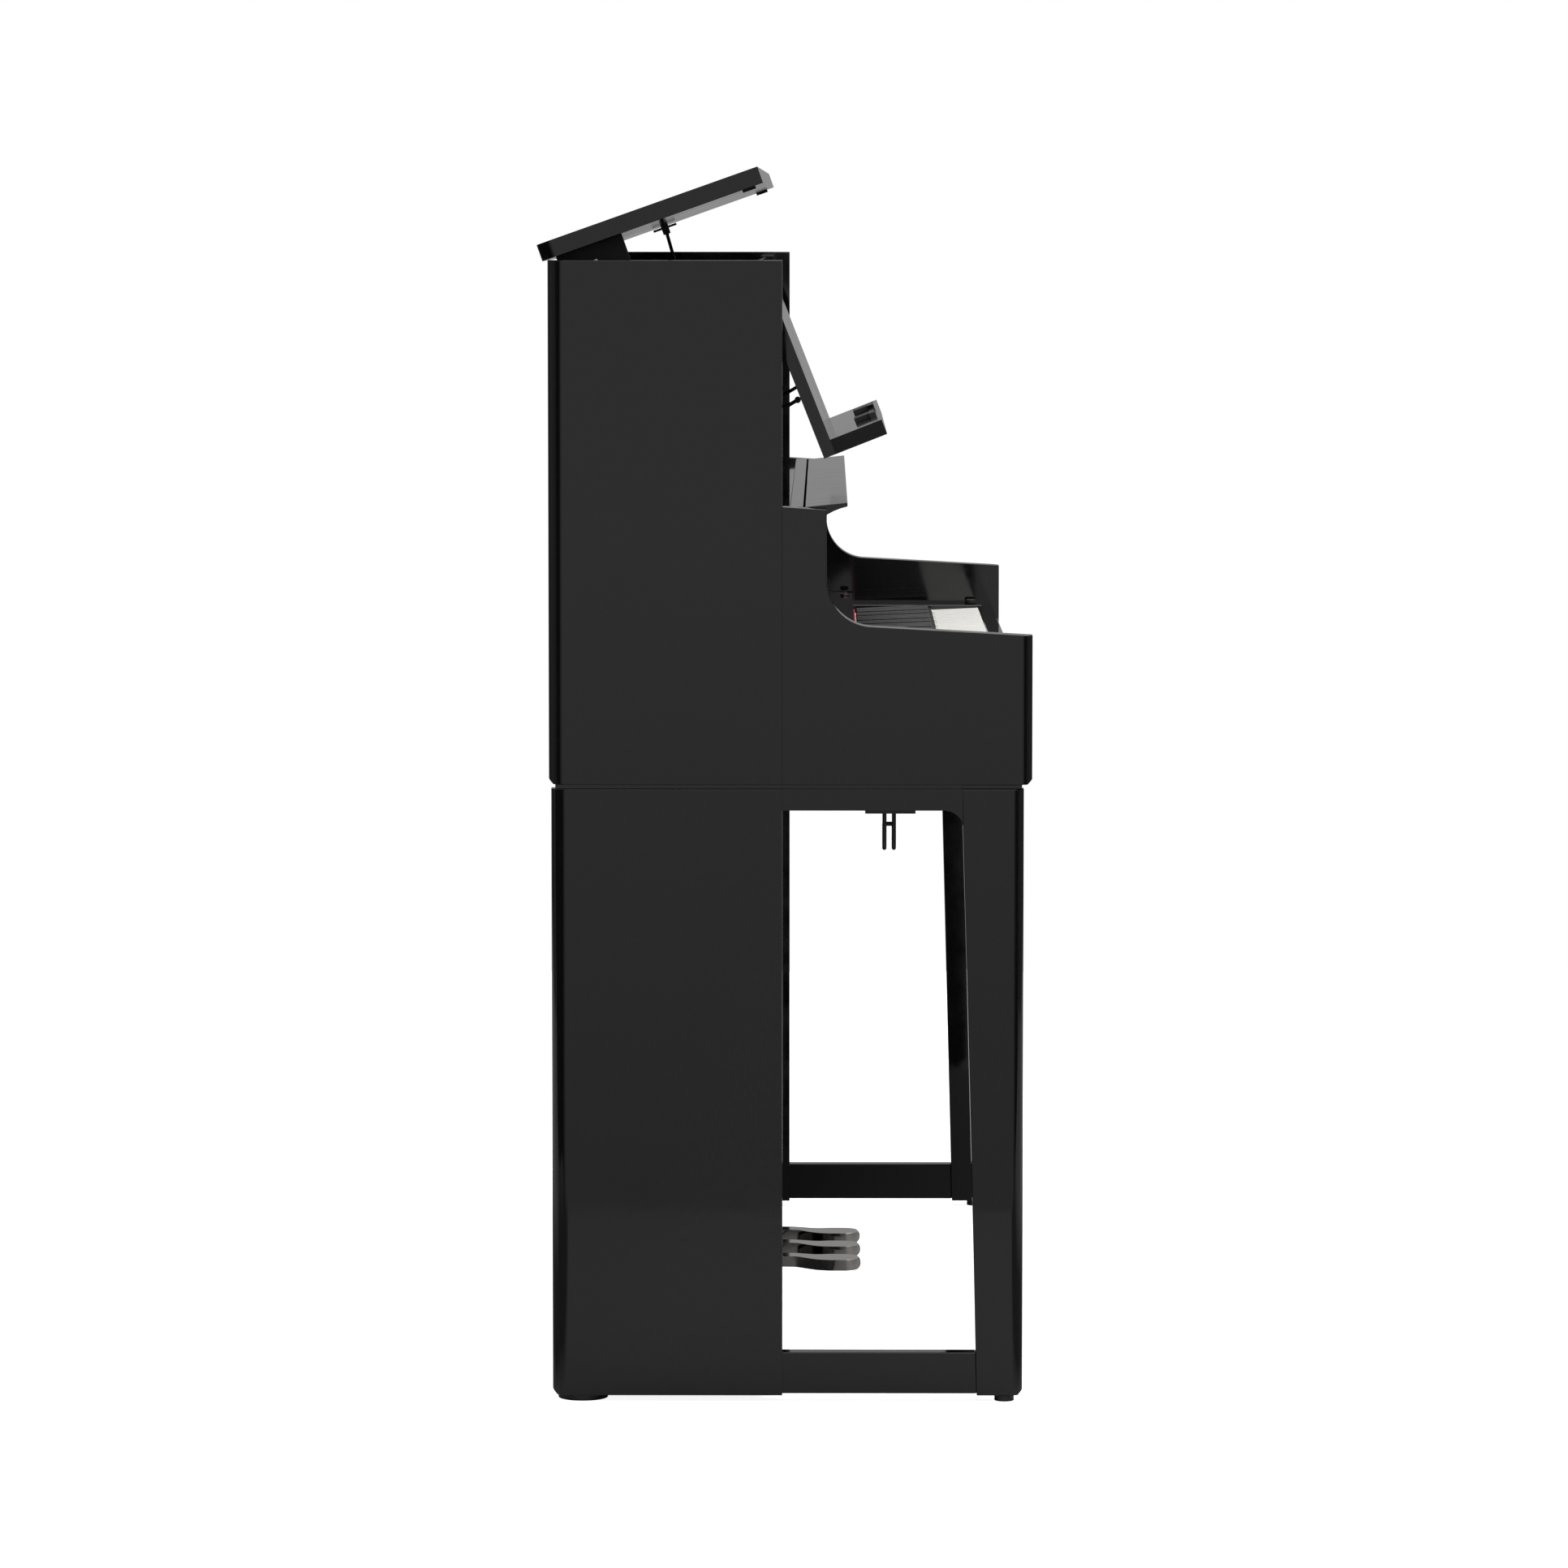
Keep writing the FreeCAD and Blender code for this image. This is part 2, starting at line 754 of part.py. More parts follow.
# ---- pedals ----
def pedal_outline():
    # side view of a pedal: a straight arm that dips to a round-nosed tip
    half = pedal_thickness / 2
    end = pedal_pivot_y + pedal_tail
    bend_start = -pedal_bend_start
    bend_end = -pedal_bend_end
    middle = (bend_start + bend_end) / 2
    tip_z = pedal_pivot_z - pedal_drop
    tip_y = -pedal_tip + half
    top_bend = Part.BSplineCurve()
    top_bend.interpolate(
        Points=[V(0, bend_start, pedal_pivot_z + half),
                V(0, middle, pedal_pivot_z + half - pedal_drop / 2),
                V(0, bend_end, tip_z + half)],
        InitialTangent=V(0, -1, 0), FinalTangent=V(0, -1, 0))
    low_bend = Part.BSplineCurve()
    low_bend.interpolate(
        Points=[V(0, bend_end, tip_z - half),
                V(0, middle, pedal_pivot_z - half - pedal_drop / 2),
                V(0, bend_start, pedal_pivot_z - half)],
        InitialTangent=V(0, 1, 0), FinalTangent=V(0, 1, 0))
    return [
        line((0, end, pedal_pivot_z - half), (0, end, pedal_pivot_z + half)),
        line((0, end, pedal_pivot_z + half), (0, bend_start, pedal_pivot_z + half)),
        top_bend.toShape(),
        line((0, bend_end, tip_z + half), (0, tip_y, tip_z + half)),
        arc((0, tip_y, tip_z + half), (0, -pedal_tip, tip_z), (0, tip_y, tip_z - half)),
        line((0, tip_y, tip_z - half), (0, bend_end, tip_z - half)),
        low_bend.toShape(),
        line((0, bend_start, pedal_pivot_z - half), (0, end, pedal_pivot_z - half)),
    ]


def pedal(x):
    half_tip = pedal_tip_width / 2
    half_neck = pedal_neck_width / 2
    face = Part.Face(Part.Wire(pedal_outline()))
    body = face.extrude(V(pedal_tip_width, 0, 0))
    body.translate(V(-half_tip, 0, 0))
    end = pedal_pivot_y + pedal_tail
    nose_y = -pedal_tip + half_tip * pedal_nose_share
    neck = -pedal_taper_start
    widest = -pedal_taper_end
    edges = [
        line((-half_neck, end, 0), (-half_neck, neck, 0)),
        line((-half_neck, neck, 0), (-half_tip, widest, 0)),
        line((-half_tip, widest, 0), (-half_tip, nose_y, 0)),
        arc((-half_tip, nose_y, 0), (0, -pedal_tip, 0), (half_tip, nose_y, 0)),
        line((half_tip, nose_y, 0), (half_tip, widest, 0)),
        line((half_tip, widest, 0), (half_neck, neck, 0)),
        line((half_neck, neck, 0), (half_neck, end, 0)),
        line((half_neck, end, 0), (-half_neck, end, 0)),
    ]
    plan = extrude_edges(edges, V(0, 0, pedal_rail_top))
    body = body.common(plan)
    body.translate(V(x, 0, 0))
    bore = make_rod(V(x - half_tip, pedal_pivot_y, pedal_pivot_z), V(1, 0, 0),
                    pedal_pin_radius + running_gap, pedal_tip_width)
    return body.cut(bore)


def pedal_bracket():
    # base plate with two ears and a pivot pin for each pedal
    board_top = bottom_board_bottom + bottom_board_thickness
    reach = pedal_spacing + pedal_neck_width
    pieces = [make_box(-reach, reach, pedal_pivot_y - bracket_half_depth, pedal_pivot_y + bracket_half_depth,
                       board_top, board_top + bracket_base)]
    ear_inner = pedal_neck_width / 2 + fit_gap
    for x in pedal_positions():
        for side in (-1, 1):
            near = x + side * ear_inner
            far = near + side * pedal_ear_thickness
            pieces.append(make_box(min(near, far), max(near, far), pedal_pivot_y - bracket_ear_half,
                                   pedal_pivot_y + bracket_ear_half, board_top, bracket_height))
        pin_half = ear_inner + pedal_ear_thickness + bracket_pin_end
        pieces.append(make_rod(V(x - pin_half, pedal_pivot_y, pedal_pivot_z), V(1, 0, 0),
                               pedal_pin_radius, 2 * pin_half))
    return fuse_all(pieces)


# ---- keys ----
# semitone offsets of the black keys from the joints between white keys, in one octave
black_shift = {0: -2.4, 1: 2.4, 3: -3.4, 4: 0.0, 5: 3.4}
white_names = ["c", "d", "e", "f", "g", "a", "b"]
first_white = 5             # the lowest key is an A, the sixth white key of its octave


def octave_place(index):
    return (index + first_white) % 7


def white_left(index):
    return -keyboard_half + index * white_pitch


def black_centre(index):
    # black key on the joint between white keys index and index + 1, or None
    shift = black_shift.get(octave_place(index))
    if shift is None or index < 0 or index > white_count - 2:
        return None
    return white_left(index + 1) + shift


def white_key(index):
    left = white_left(index) + white_gap / 2
    right = white_left(index + 1) - white_gap / 2
    front = -white_front
    head_back = -white_front + white_head
    tail_left = left
    tail_right = right
    before = black_centre(index - 1)
    after = black_centre(index)
    if before is not None:
        tail_left = before + black_width / 2 + black_slack
    if after is not None:
        tail_right = after - black_width / 2 - black_slack
    head = make_box(left, right, front, head_back, key_level_bottom, key_level_top)
    tail = make_box(tail_left, tail_right, head_back, key_tail_end, key_level_bottom, key_level_top)
    return tilt_key(fuse_all([head, tail]))


def tilt_key(shape):
    # a pressed key is level; at rest its front stands up
    return turn_about_x(shape, key_pivot_y, key_level_top, -key_tilt)


def black_key(index):
    x = black_centre(index)
    half = black_width / 2
    front = -white_front + white_head + black_front_gap
    top = key_level_top + black_rise
    tail_top = key_level_top - black_tail_drop
    points = [
        (front, key_level_bottom),
        (key_tail_end, key_level_bottom),
        (key_tail_end, tail_top),
        (-black_back, tail_top),
        (-black_back, top),
        (front + black_front_slope, top),
        (front, key_level_top),
    ]
    return tilt_key(slab_across(points, x - half, x + half))


def key_groups():
    # middle C, the black key beside it and D move on their own
    middle_c = 23
    single_whites = [middle_c, middle_c + 1]
    single_blacks = [middle_c]
    groups = {"white_keys_bass": [], "white_keys_treble": [], "black_keys_bass": [], "black_keys_treble": []}
    for index in range(white_count):
        if index in single_whites:
            groups["key_" + white_names[octave_place(index)]] = [white_key(index)]
        elif index < middle_c:
            groups["white_keys_bass"].append(white_key(index))
        else:
            groups["white_keys_treble"].append(white_key(index))
        if black_centre(index) is None:
            continue
        if index in single_blacks:
            groups["key_" + white_names[octave_place(index)] + "_sharp"] = [black_key(index)]
        elif index < middle_c:
            groups["black_keys_bass"].append(black_key(index))
        else:
            groups["black_keys_treble"].append(black_key(index))
    return groups


# ---- key cover ----
def cover_half():
    return inner_x - cover_side_gap


def cover_leaf():
    x = -cover_half()
    tip_low = cover_lip_top - cover_lip_edge
    cove = ((cover_lip_reach + cover_front) / 2 + cover_cove_shift, tip_low - cover_cove_drop)
    back_top = cover_top - cover_top_ease
    edges = [
        line((x, -cover_back, cover_bottom), (x, -cover_back, back_top)),
        line((x, -cover_back, back_top), (x, -cover_lip_reach, cover_lip_top)),
        line((x, -cover_lip_reach, cover_lip_top), (x, -cover_lip_reach, tip_low)),
        arc((x, -cover_lip_reach, tip_low), (x, -cove[0], cove[1]), (x, -cover_front, cover_lip_root)),
        line((x, -cover_front, cover_lip_root), (x, -cover_front, cover_bottom)),
        line((x, -cover_front, cover_bottom), (x, -cover_back, cover_bottom)),
    ]
    return extrude_edges(edges, V(2 * cover_half(), 0, 0))


def cover_arm():
    # plate under the leaf's end, with a boss and a pin that turns in the cheek
    start = cover_arm_start()
    end = cover_half()
    foot = -cover_back - cover_arm_toe
    points = [
        (cover_pivot_y, cover_pivot_z + cover_boss_radius * cover_arm_high),
        (cover_pivot_y + cover_arm_offset, cover_pivot_z - cover_boss_radius * cover_arm_low),
        (-cover_front, cover_bottom - cover_arm_root),
        (foot, cover_bottom - cover_arm_tip),
        (foot, cover_bottom),
        (-cover_front, cover_bottom),
    ]
    plate = slab_across(points, start, end)
    boss = make_rod(V(start, cover_pivot_y, cover_pivot_z), V(1, 0, 0), cover_boss_radius, end - start)
    pin_length = inner_x - end + cover_pin_depth - fit_gap
    pin = make_rod(V(end, cover_pivot_y, cover_pivot_z), V(1, 0, 0), cover_pin_radius, pin_length)
    return fuse_all([plate, boss, pin])


def cover_bumper():
    x = inner_x - bumper_side_inset
    start = V(x, bumper_y, key_front_top + block_height_over_keys)
    return make_rod(start, V(0, 0, 1), bumper_radius, bumper_height)


# ---- top lid, drawn closed and turned open ----
def open_lid(shape):
    return turn_about_x(shape, lid_pivot_y, lid_pivot_z, -lid_angle)


def lid_board():
    board = make_box(-half_width, half_width, lid_front, lid_back,
                     lid_underside, lid_underside + lid_thickness)
    corners = []
    for edge in board.Edges:
        middle = edge.BoundBox.Center
        if edge.BoundBox.ZLength > 1.0 and middle.y > lid_back - 1.0:
            corners.append(edge)
    return open_lid(board.makeFillet(back_corner_radius, corners))


def lid_rail_bottom():
    return lid_pivot_z + hinge_leaf + hinge_leaf_gap


def lid_rail_back():
    return lid_pivot_y - hinge_knuckle_radius - hinge_leaf_gap


def lid_rail():
    half = inner_x - lid_rail_side_gap
    start = end_block_thickness - half
    return open_lid(make_box(start, half, lid_rail_front, lid_rail_back(), lid_rail_bottom(), lid_underside))


def lid_end_block():
    start = lid_rail_side_gap - inner_x
    bottom = lid_underside - end_block_height
    points = [
        (end_block_front, bottom),
        (end_block_back, bottom),
        (end_block_back, lid_rail_bottom()),
        (lid_rail_back(), lid_rail_bottom()),
        (lid_rail_back(), lid_underside),
        (end_block_front, lid_underside),
    ]
    return open_lid(slab_across(points, start, start + end_block_thickness))


def hinge_half():
    return inner_x - hinge_end_inset


def hinge_step():
    return 2 * hinge_half() / hinge_knuckles


def hinge_leaf_back():
    return lid_pivot_y - hinge_knuckle_radius - hinge_leaf_reach


def hinge_knuckle(number, bore):
    start = V(-hinge_half() + number * hinge_step() + fit_gap, lid_pivot_y, lid_pivot_z)
    knuckle = make_rod(start, V(1, 0, 0), hinge_knuckle_radius, hinge_step() - 2 * fit_gap)
    if bore:
        knuckle = knuckle.cut(make_rod(start, V(1, 0, 0), hinge_pin_radius + running_gap, hinge_step()))
    return knuckle


def hinge_leaf_plate(low, high):
    back = hinge_leaf_back()
    return make_box(-hinge_half(), hinge_half(), back - hinge_leaf_depth, back, low, high)


def hinge_web(number, low, high):
    x = -hinge_half() + number * hinge_step()
    return make_box(x + fit_gap, x + hinge_step() - fit_gap, hinge_leaf_back(), lid_pivot_y - hinge_web_reach,
                    low, high)


def hinge_fixed():
    low = top_rail_top()
    high = low + hinge_leaf
    pieces = [hinge_leaf_plate(low, high)]
    for number in range(0, hinge_knuckles, 2):
        pieces.append(hinge_web(number, low, high))
        pieces.append(hinge_knuckle(number, False))
    pin_half = hinge_half() - fit_gap
    pieces.append(make_rod(V(-pin_half, lid_pivot_y, lid_pivot_z), V(1, 0, 0),
                           hinge_pin_radius, 2 * pin_half))
    return fuse_all(pieces)


def hinge_moving():
    high = lid_rail_bottom()
    low = high - hinge_leaf
    pieces = [hinge_leaf_plate(low, high)]
    for number in range(1, hinge_knuckles, 2):
        pieces.append(hinge_web(number, low, high))
    whole = fuse_all(pieces)
    for number in range(1, hinge_knuckles, 2):
        whole = whole.fuse(hinge_knuckle(number, True))
    clearance = make_rod(V(-inner_x, lid_pivot_y, lid_pivot_z), V(1, 0, 0),
                         hinge_pin_radius + running_gap, 2 * inner_x)
    return open_lid(whole.cut(clearance))


def lid_pads():
    x = half_width - side_thickness / 2
    top = lid_underside
    low = case_top + seat_gap
    near = make_box(x - pad_width / 2, x + pad_width / 2, pad_y - pad_length / 2, pad_y + pad_length / 2,
                    low, top)
    return open_lid(pair(near))


def stay_plate():
    # plate with a slot for the rod's eye, carried under the lid by two ears and their pin
    plate_top = lid_underside - stay_plate_drop
    plate = make_box(stay_x - stay_plate_width / 2, stay_x + stay_plate_width / 2,
                     stay_eye_y - stay_plate_length / 2, stay_eye_y + stay_plate_length / 2,
                     plate_top - stay_plate_thickness, plate_top)
    ear_inner = stay_eye_width / 2 + fit_gap
    eye_room = stay_eye_radius + fit_gap
    slot = make_box(stay_x - ear_inner, stay_x + ear_inner, stay_eye_y - eye_room, stay_eye_y + eye_room,
                    plate_top - stay_plate_thickness - 1, plate_top + 1)
    pieces = [plate.cut(slot)]
    for side in (-1, 1):
        near = stay_x + side * ear_inner
        far = near + side * stay_ear
        pieces.append(make_box(min(near, far), max(near, far), stay_eye_y - stay_eye_radius,
                               stay_eye_y + stay_eye_radius, stay_eye_z - stay_ear_lap, lid_underside))
    pin_half = ear_inner + stay_ear
    pieces.append(make_rod(V(stay_x - pin_half, stay_eye_y, stay_eye_z), V(1, 0, 0),
                           stay_pin_radius, 2 * pin_half))
    return open_lid(fuse_all(pieces))


def turned_point(y, z, pivot_y, pivot_z, degrees):
    angle = math.radians(degrees)
    from_y = y - pivot_y
    from_z = z - pivot_z
    turned_y = from_y * math.cos(angle) - from_z * math.sin(angle)
    turned_z = from_y * math.sin(angle) + from_z * math.cos(angle)
    return pivot_y + turned_y, pivot_z + turned_z


def stay_eye_open():
    return turned_point(stay_eye_y, stay_eye_z, lid_pivot_y, lid_pivot_z, -lid_angle)


def stay_direction():
    # the rod lies along the line that its eye follows as the lid closes
    y, z = stay_eye_open()
    run = stay_eye_y - y
    fall = stay_eye_z - z
    length = math.hypot(run, fall)
    return run / length, fall / length


def stay_rod():
    y, z = stay_eye_open()
    run, fall = stay_direction()
    eye = make_rod(V(stay_x - stay_eye_width / 2, y, z), V(1, 0, 0), stay_eye_radius, stay_eye_width)
    rod = make_rod(V(stay_x, y, z), V(0, run, fall), stay_rod_radius, stay_length)
    bore = make_rod(V(stay_x - stay_eye_width, y, z), V(1, 0, 0), stay_pin_radius + running_gap,
                    2 * stay_eye_width)
    return fuse_all([eye, rod]).cut(bore)


def stay_guide():
    # angle bracket on the top back rail, with an eyelet that the rod slides through
    y, z = stay_eye_open()
    run, fall = stay_direction()
    hole_y = y + (guide_level - z) * run / fall
    rail_face = back_panel_back - top_rail_depth
    low_x = stay_x - guide_width / 2
    high_x = stay_x + guide_width / 2
    plate = make_box(low_x, high_x, hole_y - guide_reach, rail_face,
                     guide_level, guide_level + guide_thickness)
    flange = make_box(low_x, high_x, rail_face - guide_thickness, rail_face,
                      guide_level, guide_level + guide_flange_height)
    hole = make_rod(V(stay_x, hole_y, guide_level - 1), V(0, 0, 1), guide_hole_radius, guide_thickness + 2)
    return fuse_all([plate, flange]).cut(hole)


# ---- music rest, drawn closed and tilted forward ----
def tilt_music(shape):
    return turn_about_x(shape, music_pivot_y, music_pivot_z, -music_angle)


def music_stay_lug(x):
    # small plate on the rear of the panel that carries a stay's knob
    back = grille_face + music_thickness
    half = music_knob_width / 2
    return make_box(x - half, x + half, back, back + music_stay_back - music_knob_radius - fit_gap,
                    music_stay_z - music_lug_half, music_stay_z + music_lug_half)


def music_panel():
    back = grille_face + music_thickness
    panel = make_box(-music_half_width, music_half_width, grille_face, back, music_bottom, music_top)
    pieces = [panel]
    reach = music_pin_length + music_side_gap - 1.0
    for side in (-1, 1):
        x = side * music_half_width
        pieces.append(make_rod(V(x, music_pivot_y, music_pivot_z), V(side, 0, 0), music_pin_radius, reach))
        pieces.append(music_stay_lug(side * music_stay_x))
    return tilt_music(fuse_all(pieces))


def ledge_top():
    return music_bottom + ledge_height


def holder_axis():
    y = -holder_front + holder_thickness / 2
    z = ledge_top() + holder_thickness / 2
    return y, z


def music_ledge():
    # board with a pair of lugs for each page holder
    front = grille_face - ledge_reach
    board = make_box(-music_half_width, music_half_width, front, grille_face, music_bottom, ledge_top())
    y, z = holder_axis()
    half = holder_thickness / 2
    near = holder_centre_gap - fit_gap
    far = holder_centre_gap + holder_width + fit_gap
    whole = board
    for start in (near - holder_lug, far):
        lug = make_box(start, start + holder_lug, y - half, y + half + holder_lug_back,
                       ledge_top(), ledge_top() + holder_thickness)
        whole = fuse_all([whole, lug, mirror_side(lug)])
    for side in (-1, 1):
        for x in (near - holder_pin_length, far - 1.0):
            bore = make_rod(V(side * x, y, z), V(side, 0, 0), holder_pin_radius + running_gap,
                            holder_pin_length + 1.0)
            whole = whole.cut(bore)
    return tilt_music(whole)


def page_holder(side):
    y, z = holder_axis()
    half = holder_thickness / 2
    near = holder_centre_gap
    far = holder_centre_gap + holder_width
    low = z - half + holder_foot_gap
    pad = make_box(near, far, y, y - half + holder_depth, low, z + half)
    barrel = make_rod(V(near, y, z), V(1, 0, 0), half - holder_foot_gap, holder_width)
    pin = make_rod(V(near - holder_pin_length + 1.0, y, z), V(1, 0, 0), holder_pin_radius,
                   holder_width + 2 * holder_pin_length - 2.0)
    whole = fuse_all([pad, barrel, pin])
    if side < 0:
        whole = mirror_side(whole)
    return tilt_music(whole)


def music_stay_axis():
    closed_y = grille_face + music_thickness + music_stay_back
    return turned_point(closed_y, music_stay_z, music_pivot_y, music_pivot_z, -music_angle)


def music_stay(side):
    y, z = music_stay_axis()
    angle = math.radians(music_stay_angle)
    direction = V(0, math.cos(angle), math.sin(angle))
    x = side * music_stay_x
    knob = make_rod(V(x - music_knob_width / 2, y, z), V(1, 0, 0), music_knob_radius, music_knob_width)
    rod = make_rod(V(x, y, z), direction, music_stay_radius, music_stay_length)
    return fuse_all([knob, rod])


# ---- small fittings ----
def button_x():
    return keyboard_half - button_end_inset


def power_button():
    low = name_board_bottom()
    length = name_board_top + button_rise - low
    return make_rod(V(button_x(), button_y, low), V(0, 0, 1), button_radius, length)


def hook_wire(y):
    # a J of round wire in an upright plane across the piano
    x_down = -half_width + brace_thickness / 2
    top = stand_top - brace_height - hook_plate_thickness
    low = hook_drop + hook_wire_radius
    bend_z = low + hook_bend_radius
    x_up = x_down + 2 * hook_bend_radius
    down = line((x_down, y, top + 1.0), (x_down, y, bend_z))
    bend = arc((x_down, y, bend_z), (x_down + hook_bend_radius, y, low), (x_up, y, bend_z))
    up = line((x_up, y, bend_z), (x_up, y, hook_return))
    path = Part.Wire([down, bend, up])
    circle = Part.Wire(Part.Circle(V(x_down, y, top + 1.0), V(0, 0, 1), hook_wire_radius).toShape())
    return path.makePipeShell([circle], True, False), x_up


def headphone_hook():
    top = stand_top - brace_height
    x = -half_width + brace_thickness / 2
    plate = make_box(x - hook_plate_half_width, x + hook_plate_half_width,
                     -hook_plate_front, -hook_plate_back, top - hook_plate_thickness, top)
    front_wire, x_up = hook_wire(hook_y_front)
    back_wire, x_up = hook_wire(hook_y_back)
    bar = make_rod(V(x_up, hook_y_front, hook_return), V(0, 1, 0),
                   hook_wire_radius, hook_y_back - hook_y_front)
    ends = []
    for y in (hook_y_front, hook_y_back):
        ends.append(Part.makeSphere(hook_wire_radius, V(x_up, y, hook_return)))
    return fuse_all([plate, front_wire, back_wire, bar] + ends)


def jack_box():
    low = upper_bottom - jack_box_height
    half = jack_box_width / 2
    box = make_box(jack_box_x - half, jack_box_x + half, -jack_box_front, -jack_box_back, low, upper_bottom)
    for side in (-1, 1):
        x = jack_box_x + side * jack_spacing / 2
        bore = make_rod(V(x, -jack_box_front, (low + upper_bottom) / 2), V(0, 1, 0), jack_radius, jack_depth)
        box = box.cut(bore)
    return box


os.makedirs(folder, exist_ok=True)

write("upper_side_bass", upper_side())
write("upper_side_treble", mirror_side(upper_side()))
write("cheek_bass", cheek())
write("cheek_treble", mirror_side(cheek()))
write("keybed", keybed())
write("key_slip", key_slip())
write("key_blocks", pair(key_block()))
write("key_frame", key_frame())
write("name_board", name_board())
write("key_felt", key_felt())
write("fallboard_rest_board", rest_board())
write("upper_front_board", front_board())
write("speaker_grilles", pair(speaker_grille()))
write("speakers", pair(speaker()))
write("upper_back_panel", upper_back_panel())
write("top_back_rail", top_back_rail())
write("power_inlet", power_inlet())
write("electronics_box", electronics_box())

write("lower_side_bass", stand_side())
write("lower_side_treble", mirror_side(stand_side()))
write("leg_bass", leg())
write("leg_treble", mirror_side(leg()))
write("leg_braces", pair(leg_brace()))
write("toe_rails", pair(toe_rail()))
write("lower_front_panel", kick_panel())
write("pedal_rail", pedal_rail())
write("bottom_board", bottom_board())
write("lower_back_panel", stand_back_panel())
write("feet", feet())
write("pedal_bracket", pedal_bracket())
for name, x in zip(("pedal_soft", "pedal_sostenuto", "pedal_damper"), pedal_positions()):
    write(name, pedal(x))

for name, solids in key_groups().items():
    write(name, Part.makeCompound(solids))

write("fallboard_leaf", cover_leaf())
write("fallboard_arms", pair(cover_arm()))
write("fallboard_bumpers", pair(cover_bumper()))

write("lid_board", lid_board())
write("lid_rail", lid_rail())
write("lid_end_block", lid_end_block())
write("lid_hinge_fixed", hinge_fixed())
write("lid_hinge_moving", hinge_moving())
write("lid_pads", lid_pads())
write("lid_stay_plate", stay_plate())
write("lid_stay_rod", stay_rod())
write("lid_stay_guide", stay_guide())

write("music_panel", music_panel())
write("music_ledge", music_ledge())
write("page_holder_bass", page_holder(-1))
write("page_holder_treble", page_holder(1))
write("music_stays", Part.makeCompound([music_stay(-1), music_stay(1)]))

write("power_button", power_button())
write("headphone_hook", headphone_hook())
write("jack_box", jack_box())
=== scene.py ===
import json
import math

import bpy
from mathutils import Matrix, Vector


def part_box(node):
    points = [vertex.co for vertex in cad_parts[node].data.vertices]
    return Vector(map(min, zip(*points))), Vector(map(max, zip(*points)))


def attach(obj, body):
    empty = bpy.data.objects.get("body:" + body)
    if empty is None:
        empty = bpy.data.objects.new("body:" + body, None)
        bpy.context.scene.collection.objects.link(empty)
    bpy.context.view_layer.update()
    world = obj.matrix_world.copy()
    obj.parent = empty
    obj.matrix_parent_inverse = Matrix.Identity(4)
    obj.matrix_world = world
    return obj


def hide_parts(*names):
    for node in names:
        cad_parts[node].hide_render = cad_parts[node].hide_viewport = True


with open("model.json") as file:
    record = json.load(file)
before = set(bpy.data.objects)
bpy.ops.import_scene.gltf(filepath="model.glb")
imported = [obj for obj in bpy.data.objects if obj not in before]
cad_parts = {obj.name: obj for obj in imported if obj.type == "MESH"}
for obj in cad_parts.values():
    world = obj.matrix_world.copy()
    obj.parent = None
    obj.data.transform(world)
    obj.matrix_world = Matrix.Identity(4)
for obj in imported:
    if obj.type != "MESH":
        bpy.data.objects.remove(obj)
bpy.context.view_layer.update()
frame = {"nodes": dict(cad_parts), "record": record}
mm = 0.001


# small helpers

def only(*objects):
    for other in list(bpy.context.selected_objects):
        other.select_set(False)
    for piece in objects:
        piece.select_set(True)
    bpy.context.view_layer.objects.active = objects[0] if objects else None


def editing(piece):
    only(piece)
    bpy.ops.object.mode_set(mode="EDIT")


def doneEditing():
    bpy.ops.object.mode_set(mode="OBJECT")


def pickFaces(piece, wanted):
    # selects the faces for which wanted(centre, normal) is true
    mesh = piece.data
    bpy.context.tool_settings.mesh_select_mode = (False, False, True)
    for edge in mesh.edges:
        edge.select = False
    for point in mesh.vertices:
        point.select = False
    for face in mesh.polygons:
        face.select = bool(wanted(face.center, face.normal))


def placeInMesh(piece):
    only(piece)
    bpy.ops.object.transform_apply(location=True, rotation=True, scale=True)


def addBlock(name, low, high):
    low, high = Vector(low), Vector(high)
    bpy.ops.mesh.primitive_cube_add(size=1, location=(low + high) / 2)
    piece = bpy.context.object
    piece.name = name
    piece.scale = high - low
    placeInMesh(piece)
    return piece


def addDrum(name, centre, radius, depth, turn=(0, 0, 0), sides=48):
    bpy.ops.mesh.primitive_cylinder_add(vertices=sides, radius=radius, depth=depth, location=centre, rotation=turn)
    piece = bpy.context.object
    piece.name = name
    placeInMesh(piece)
    return piece


def joinPieces(name, pieces):
    only(*pieces)
    if len(pieces) > 1:
        bpy.ops.object.join()
    joined = bpy.context.object
    joined.name = name
    return joined


def copyPiece(piece, move):
    twin = piece.copy()
    twin.data = piece.data.copy()
    twin.data.transform(Matrix.Translation(Vector(move)))
    bpy.context.scene.collection.objects.link(twin)
    return twin


def addModifier(piece, kind, **settings):
    only(piece)
    modifier = piece.modifiers.new(kind.title(), kind)
    for name, value in settings.items():
        setattr(modifier, name, value)
    bpy.ops.object.modifier_apply(modifier=modifier.name)


def smooth(piece, degrees=35):
    only(piece)
    bpy.ops.object.shade_smooth_by_angle(angle=math.radians(degrees))


def edgeAngles(mesh):
    # angle between the two faces at each edge, by its pair of ends
    normals = {}
    for face in mesh.polygons:
        for key in face.edge_keys:
            normals.setdefault(key, []).append(face.normal)
    return {key: pair[0].angle(pair[1], 0) for key, pair in normals.items() if len(pair) == 2}


